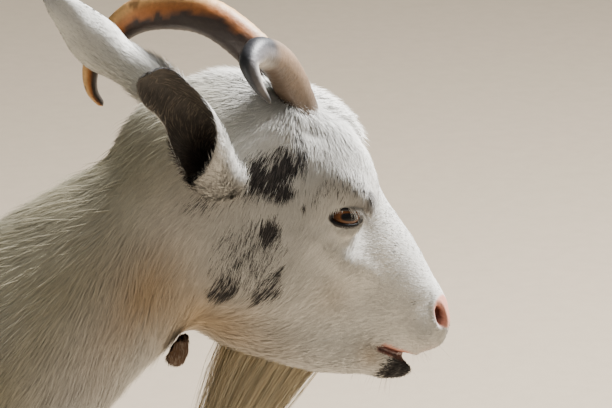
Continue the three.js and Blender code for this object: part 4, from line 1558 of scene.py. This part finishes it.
def hair_material():
    def build(tree):
        colour = tree.attribute("coat_colour")
        # painted shade: each lock runs from darker at its root, deep in the coat, to a little lighter at its
        # tip
        painted_root_shade = tree.add("MapRange", {"Value": colour["Alpha"], "To Min": 0.78, "To Max": 1.06})
        return tree.grained(tree.scaled(colour["Color"], painted_root_shade), 900, 0.14, 0)
    return material("coat hair", {"Roughness": 0.62, "Specular IOR Level": 0.28}, build)


def skin_material():
    def build(tree):
        colour = tree.attribute("coat_colour")
        return tree.grained(colour["Color"], 700, 0.3, 0.35) | {"Roughness": colour["Alpha"]}
    return material("skin", {"Specular IOR Level": 0.35}, build)


def horn_material():
    def build(tree):
        return tree.grained(tree.attribute("coat_colour")["Color"], 420, 0.5, 0.5)
    return material("horn", {"Roughness": 0.52, "Coat Weight": 0.06, "Coat Roughness": 0.35}, build)


def hoof_material():
    colour = (*linear(92, 78, 64), 1)
    return material("hoof", {"Roughness": 0.55}, lambda tree: tree.grained(colour, 300, 0.7, 0.5, (1, 1, 3)))


def lid_material():
    colour = (*linear(30, 25, 25), 1)
    return material("lid edge", {"Roughness": 0.32}, lambda tree: tree.grained(colour, 900, 0.5, 0.2))


def eye_material(settings):
    """Amber iris with a level bar of a pupil, read from each vertex's place on the eyeball."""
    amber = np.array(settings.eye_colour[:3])
    stops = [(0.12, amber * 0.35), (0.32, amber * 0.8), (0.55, amber * 1.1), (0.74, amber * 0.6),
             (0.84, linear(30, 20, 14)), (0.92, linear(96, 78, 66))]

    def build(tree):
        axes = tree.add("SeparateXYZ", {0: tree.attribute("eye_place")["Vector"]}, None)
        flat = tree.add("CombineXYZ", {0: axes[0], 1: axes[1]})
        reach = tree.add("VectorMath", {0: flat}, "Value", operation="LENGTH")
        fibres = tree.add("TexNoise", {"Vector": flat, "Scale": 16.0, "Detail": 5.0, "Distortion": 1.2})
        iris = tree.add("ValToRGB", {0: tree.math("MULTIPLY_ADD", fibres, 0.22, reach)})
        elements = iris.node.color_ramp.elements
        for element, (at, colour) in zip(elements, (stops[0], stops[-1])):
            element.position, element.color = at, (*colour, 1)
        for at, colour in stops[1:-1]:
            elements.new(at).color = (*np.clip(colour, 0, 1), 1)
        powers = [tree.math("POWER", tree.math("ABSOLUTE", tree.math("MULTIPLY", axis, 1 / half)), 3.0)
                  for axis, half in zip(axes, PUPIL_HALF)]
        pupil = tree.add("MapRange", {"Value": tree.math("ADD", *powers), "From Min": 1.3, "From Max": 0.7})
        both = {0: pupil, 6: iris, 7: (0.004, 0.003, 0.004, 1)}
        return {"Base Color": tree.add("Mix", both, 2, data_type="RGBA")}
    return material("eye", {"Roughness": 0.22, "Coat Weight": 0.3, "Coat Roughness": 0.08}, build)


def floor_material(settings):
    colour = settings.floor_colour
    return material("floor", {"Roughness": 0.9}, lambda tree: tree.grained(colour, 60, 0.08, 0.3))


# ---------- settings and operators ----------
class GoatSettings(bpy.types.PropertyGroup):
    """What a user would change about the goat."""

    seed: bpy.props.IntProperty(
        name="Seed", description="Number that the random tufts start from", default=11)
    thickness: bpy.props.FloatProperty(
        name="Coat thickness", description="Share of the full number of tufts",
        default=1.0, min=0.05, max=1.0, subtype="FACTOR")
    hair_length: bpy.props.FloatProperty(
        name="Hair length", description="Length of the coat against its natural length",
        default=1.0, min=0.2, max=1.5)
    hair_width: bpy.props.FloatProperty(
        name="Tuft width", description="Width of the tufts against their natural width",
        default=1.0, min=0.3, max=2.0)
    horn_ring_spacing: bpy.props.FloatProperty(
        name="Horn ring spacing", description="Distance between the growth rings of the horns",
        default=6.5 * MM, min=2 * MM, max=0.03, unit="LENGTH")
    eye_colour: bpy.props.FloatVectorProperty(
        name="Eye colour", description="Colour of the iris",
        subtype="COLOR", size=4, default=(*linear(138, 84, 38), 1), min=0, max=1)
    floor_colour: bpy.props.FloatVectorProperty(
        name="Floor colour", description="Colour of the plain floor",
        subtype="COLOR", size=4, default=(*linear(186, 170, 148), 1), min=0, max=1)


def settings_of(context):
    return context.scene.goat_settings


class GOAT_OT_skin(bpy.types.Operator):
    """Make the skin in one piece, with the ears and the wattles"""

    bl_idname = "goat.skin"
    bl_label = "Skin"

    def execute(self, context):
        mesh = finish_skin(make_skin_mesh(), ears_mesh())
        wattles = ("wattle_left", "wattle_right")
        piece("skin", mesh, skin_material(), FLESH + EAR_NAMES + wattles)
        return {"FINISHED"}


class GOAT_OT_coat(bpy.types.Operator):
    """Grow the coat in tufts over the skin"""

    bl_idname = "goat.coat"
    bl_label = "Coat"

    def execute(self, context):
        settings = settings_of(context)
        skin = bpy.data.objects["skin"].data
        hair = hair_material()
        for i, name in enumerate(COAT):
            rng = np.random.default_rng(settings.seed + i)
            piece(f"coat_{name}", grow(name, skin, rng, settings), hair)
        rng = np.random.default_rng(settings.seed + len(COAT))
        piece("beard_hair", beard_mesh(rng, settings), hair, ("beard",))
        piece("lashes", lash_mesh(rng), hair)
        piece("whiskers", whisker_mesh(skin, rng), hair)
        drop(skin, "lie", "hair", "lift", "patch", "growth")
        return {"FINISHED"}


class GOAT_OT_horns(bpy.types.Operator):
    """Make the two ringed horns"""

    bl_idname = "goat.horns"
    bl_label = "Horns"

    def execute(self, context):
        horn = horn_material()
        for side in SIDES:
            mesh = horn_mesh(side, settings_of(context))
            piece(f"horn_{side}_ringed", mesh, horn, (f"horn_{side}",))
        return {"FINISHED"}


class GOAT_OT_eyes(bpy.types.Operator):
    """Make the eyeballs and the dark rims of the lids"""

    bl_idname = "goat.eyes"
    bl_label = "Eyes"

    def execute(self, context):
        eye = eye_material(settings_of(context))
        for side in SIDES:
            piece(f"eyeball_{side}", eye_mesh(side), eye, (f"eye_{side}",))
        piece("lid_edges", lid_edge_mesh(), lid_material())
        return {"FINISHED"}


class GOAT_OT_hooves(bpy.types.Operator):
    """Make the cloven hooves"""

    bl_idname = "goat.hooves"
    bl_label = "Hooves"

    def execute(self, context):
        horn = hoof_material()
        for leg in LEG_NAMES:
            nodes = [n for n in HOOF_NODES if leg in n]
            piece(f"hooves_{leg}", hoof_mesh(leg), horn, nodes)
        return {"FINISHED"}


LENS_DISTANCE = 2.8
LENS = 253.6
SENSOR = 36.0
VIEW_BACK = Vector((-0.198, -0.930, 0.309)).normalized()
AIM_FROM_POLL = (34 * MM, -17 * MM, 0)  # the point that the lens was set for, from the poll
AIM_RIGHT = 16.2 * MM
AIM_DOWN = 73.4 * MM
LAMP_DISTANCE = 3.0
FLOOR_REACH = 30  # metres from its middle to its edge
FAR_CLIP = 200
WORLD_COLOUR, WORLD_STRENGTH = (0.86, 0.85, 0.80, 1), 0.2


def placed(aim, way, distance):
    """The matrix of a camera or a lamp that looks at aim from a distance, with way as the way back to it."""
    return Matrix.Translation(aim + way * distance) @ way.to_track_quat("Z", "Y").to_matrix().to_4x4()


class GOAT_OT_stage(bpy.types.Operator):
    """Set the floor, the soft studio light and the camera"""

    bl_idname = "goat.stage"
    bl_label = "Stage"

    def execute(self, context):
        bm = bmesh.new()
        bmesh.ops.create_grid(bm, x_segments=8, y_segments=8, size=FLOOR_REACH)
        floor = new_object("floor", mesh_of(bm, "floor"))
        floor.data.materials.append(floor_material(settings_of(context)))

        camera = bpy.data.objects.new("camera", bpy.data.cameras.new("camera"))
        camera.data.lens = LENS
        camera.data.sensor_width = SENSOR
        camera.data.clip_end = FAR_CLIP
        turned = VIEW_BACK.to_track_quat("Z", "Y")
        right, up = turned @ Vector((1, 0, 0)), turned @ Vector((0, 1, 0))
        aim = Vector(POLL) + Vector(AIM_FROM_POLL) + right * AIM_RIGHT - up * AIM_DOWN
        camera.matrix_world = placed(aim, VIEW_BACK, LENS_DISTANCE)
        context.scene.collection.objects.link(camera)
        context.scene.camera = camera

        for name, way, size, power in (
            ("key light", right * 0.60 + up * 0.86 - VIEW_BACK * 0.24, 1.1, 500),
            ("fill light", VIEW_BACK * 1.0 - right * 0.3 + up * 0.6, 3.0, 5),
        ):
            lamp = bpy.data.lights.new(name, "AREA")
            lamp.shape = "DISK"
            lamp.size = size
            lamp.energy = power
            light = bpy.data.objects.new(name, lamp)
            light.matrix_world = placed(aim, way.normalized(), LAMP_DISTANCE)
            context.scene.collection.objects.link(light)
        world = bpy.data.worlds.new("studio")
        world.use_nodes = True
        background = world.node_tree.nodes["Background"]
        background.inputs[0].default_value = WORLD_COLOUR
        background.inputs[1].default_value = WORLD_STRENGTH
        context.scene.world = world
        return {"FINISHED"}


class GOAT_PT_panel(bpy.types.Panel):
    """The goat's pieces and settings"""

    bl_label = "Goat"
    bl_idname = "GOAT_PT_panel"
    bl_space_type = "VIEW_3D"
    bl_region_type = "UI"
    bl_category = "Goat"

    def draw(self, context):
        for name in GoatSettings.__annotations__:
            self.layout.prop(settings_of(context), name)
        for operator in OPERATORS:
            self.layout.operator(operator.bl_idname)


OPERATORS = (GOAT_OT_skin, GOAT_OT_coat, GOAT_OT_horns, GOAT_OT_eyes, GOAT_OT_hooves, GOAT_OT_stage)
CLASSES = (GoatSettings, *OPERATORS, GOAT_PT_panel)


def register():
    for cls in CLASSES:
        bpy.utils.register_class(cls)
    bpy.types.Scene.goat_settings = bpy.props.PointerProperty(type=GoatSettings)


def unregister():
    del bpy.types.Scene.goat_settings
    for cls in reversed(CLASSES):
        bpy.utils.unregister_class(cls)


def main():
    register()
    grain_group()
    bpy.ops.goat.skin()
    bpy.ops.goat.coat()
    bpy.ops.goat.horns()
    bpy.ops.goat.eyes()
    bpy.ops.goat.hooves()
    bpy.ops.goat.stage()


if __name__ == "__main__":
    main()
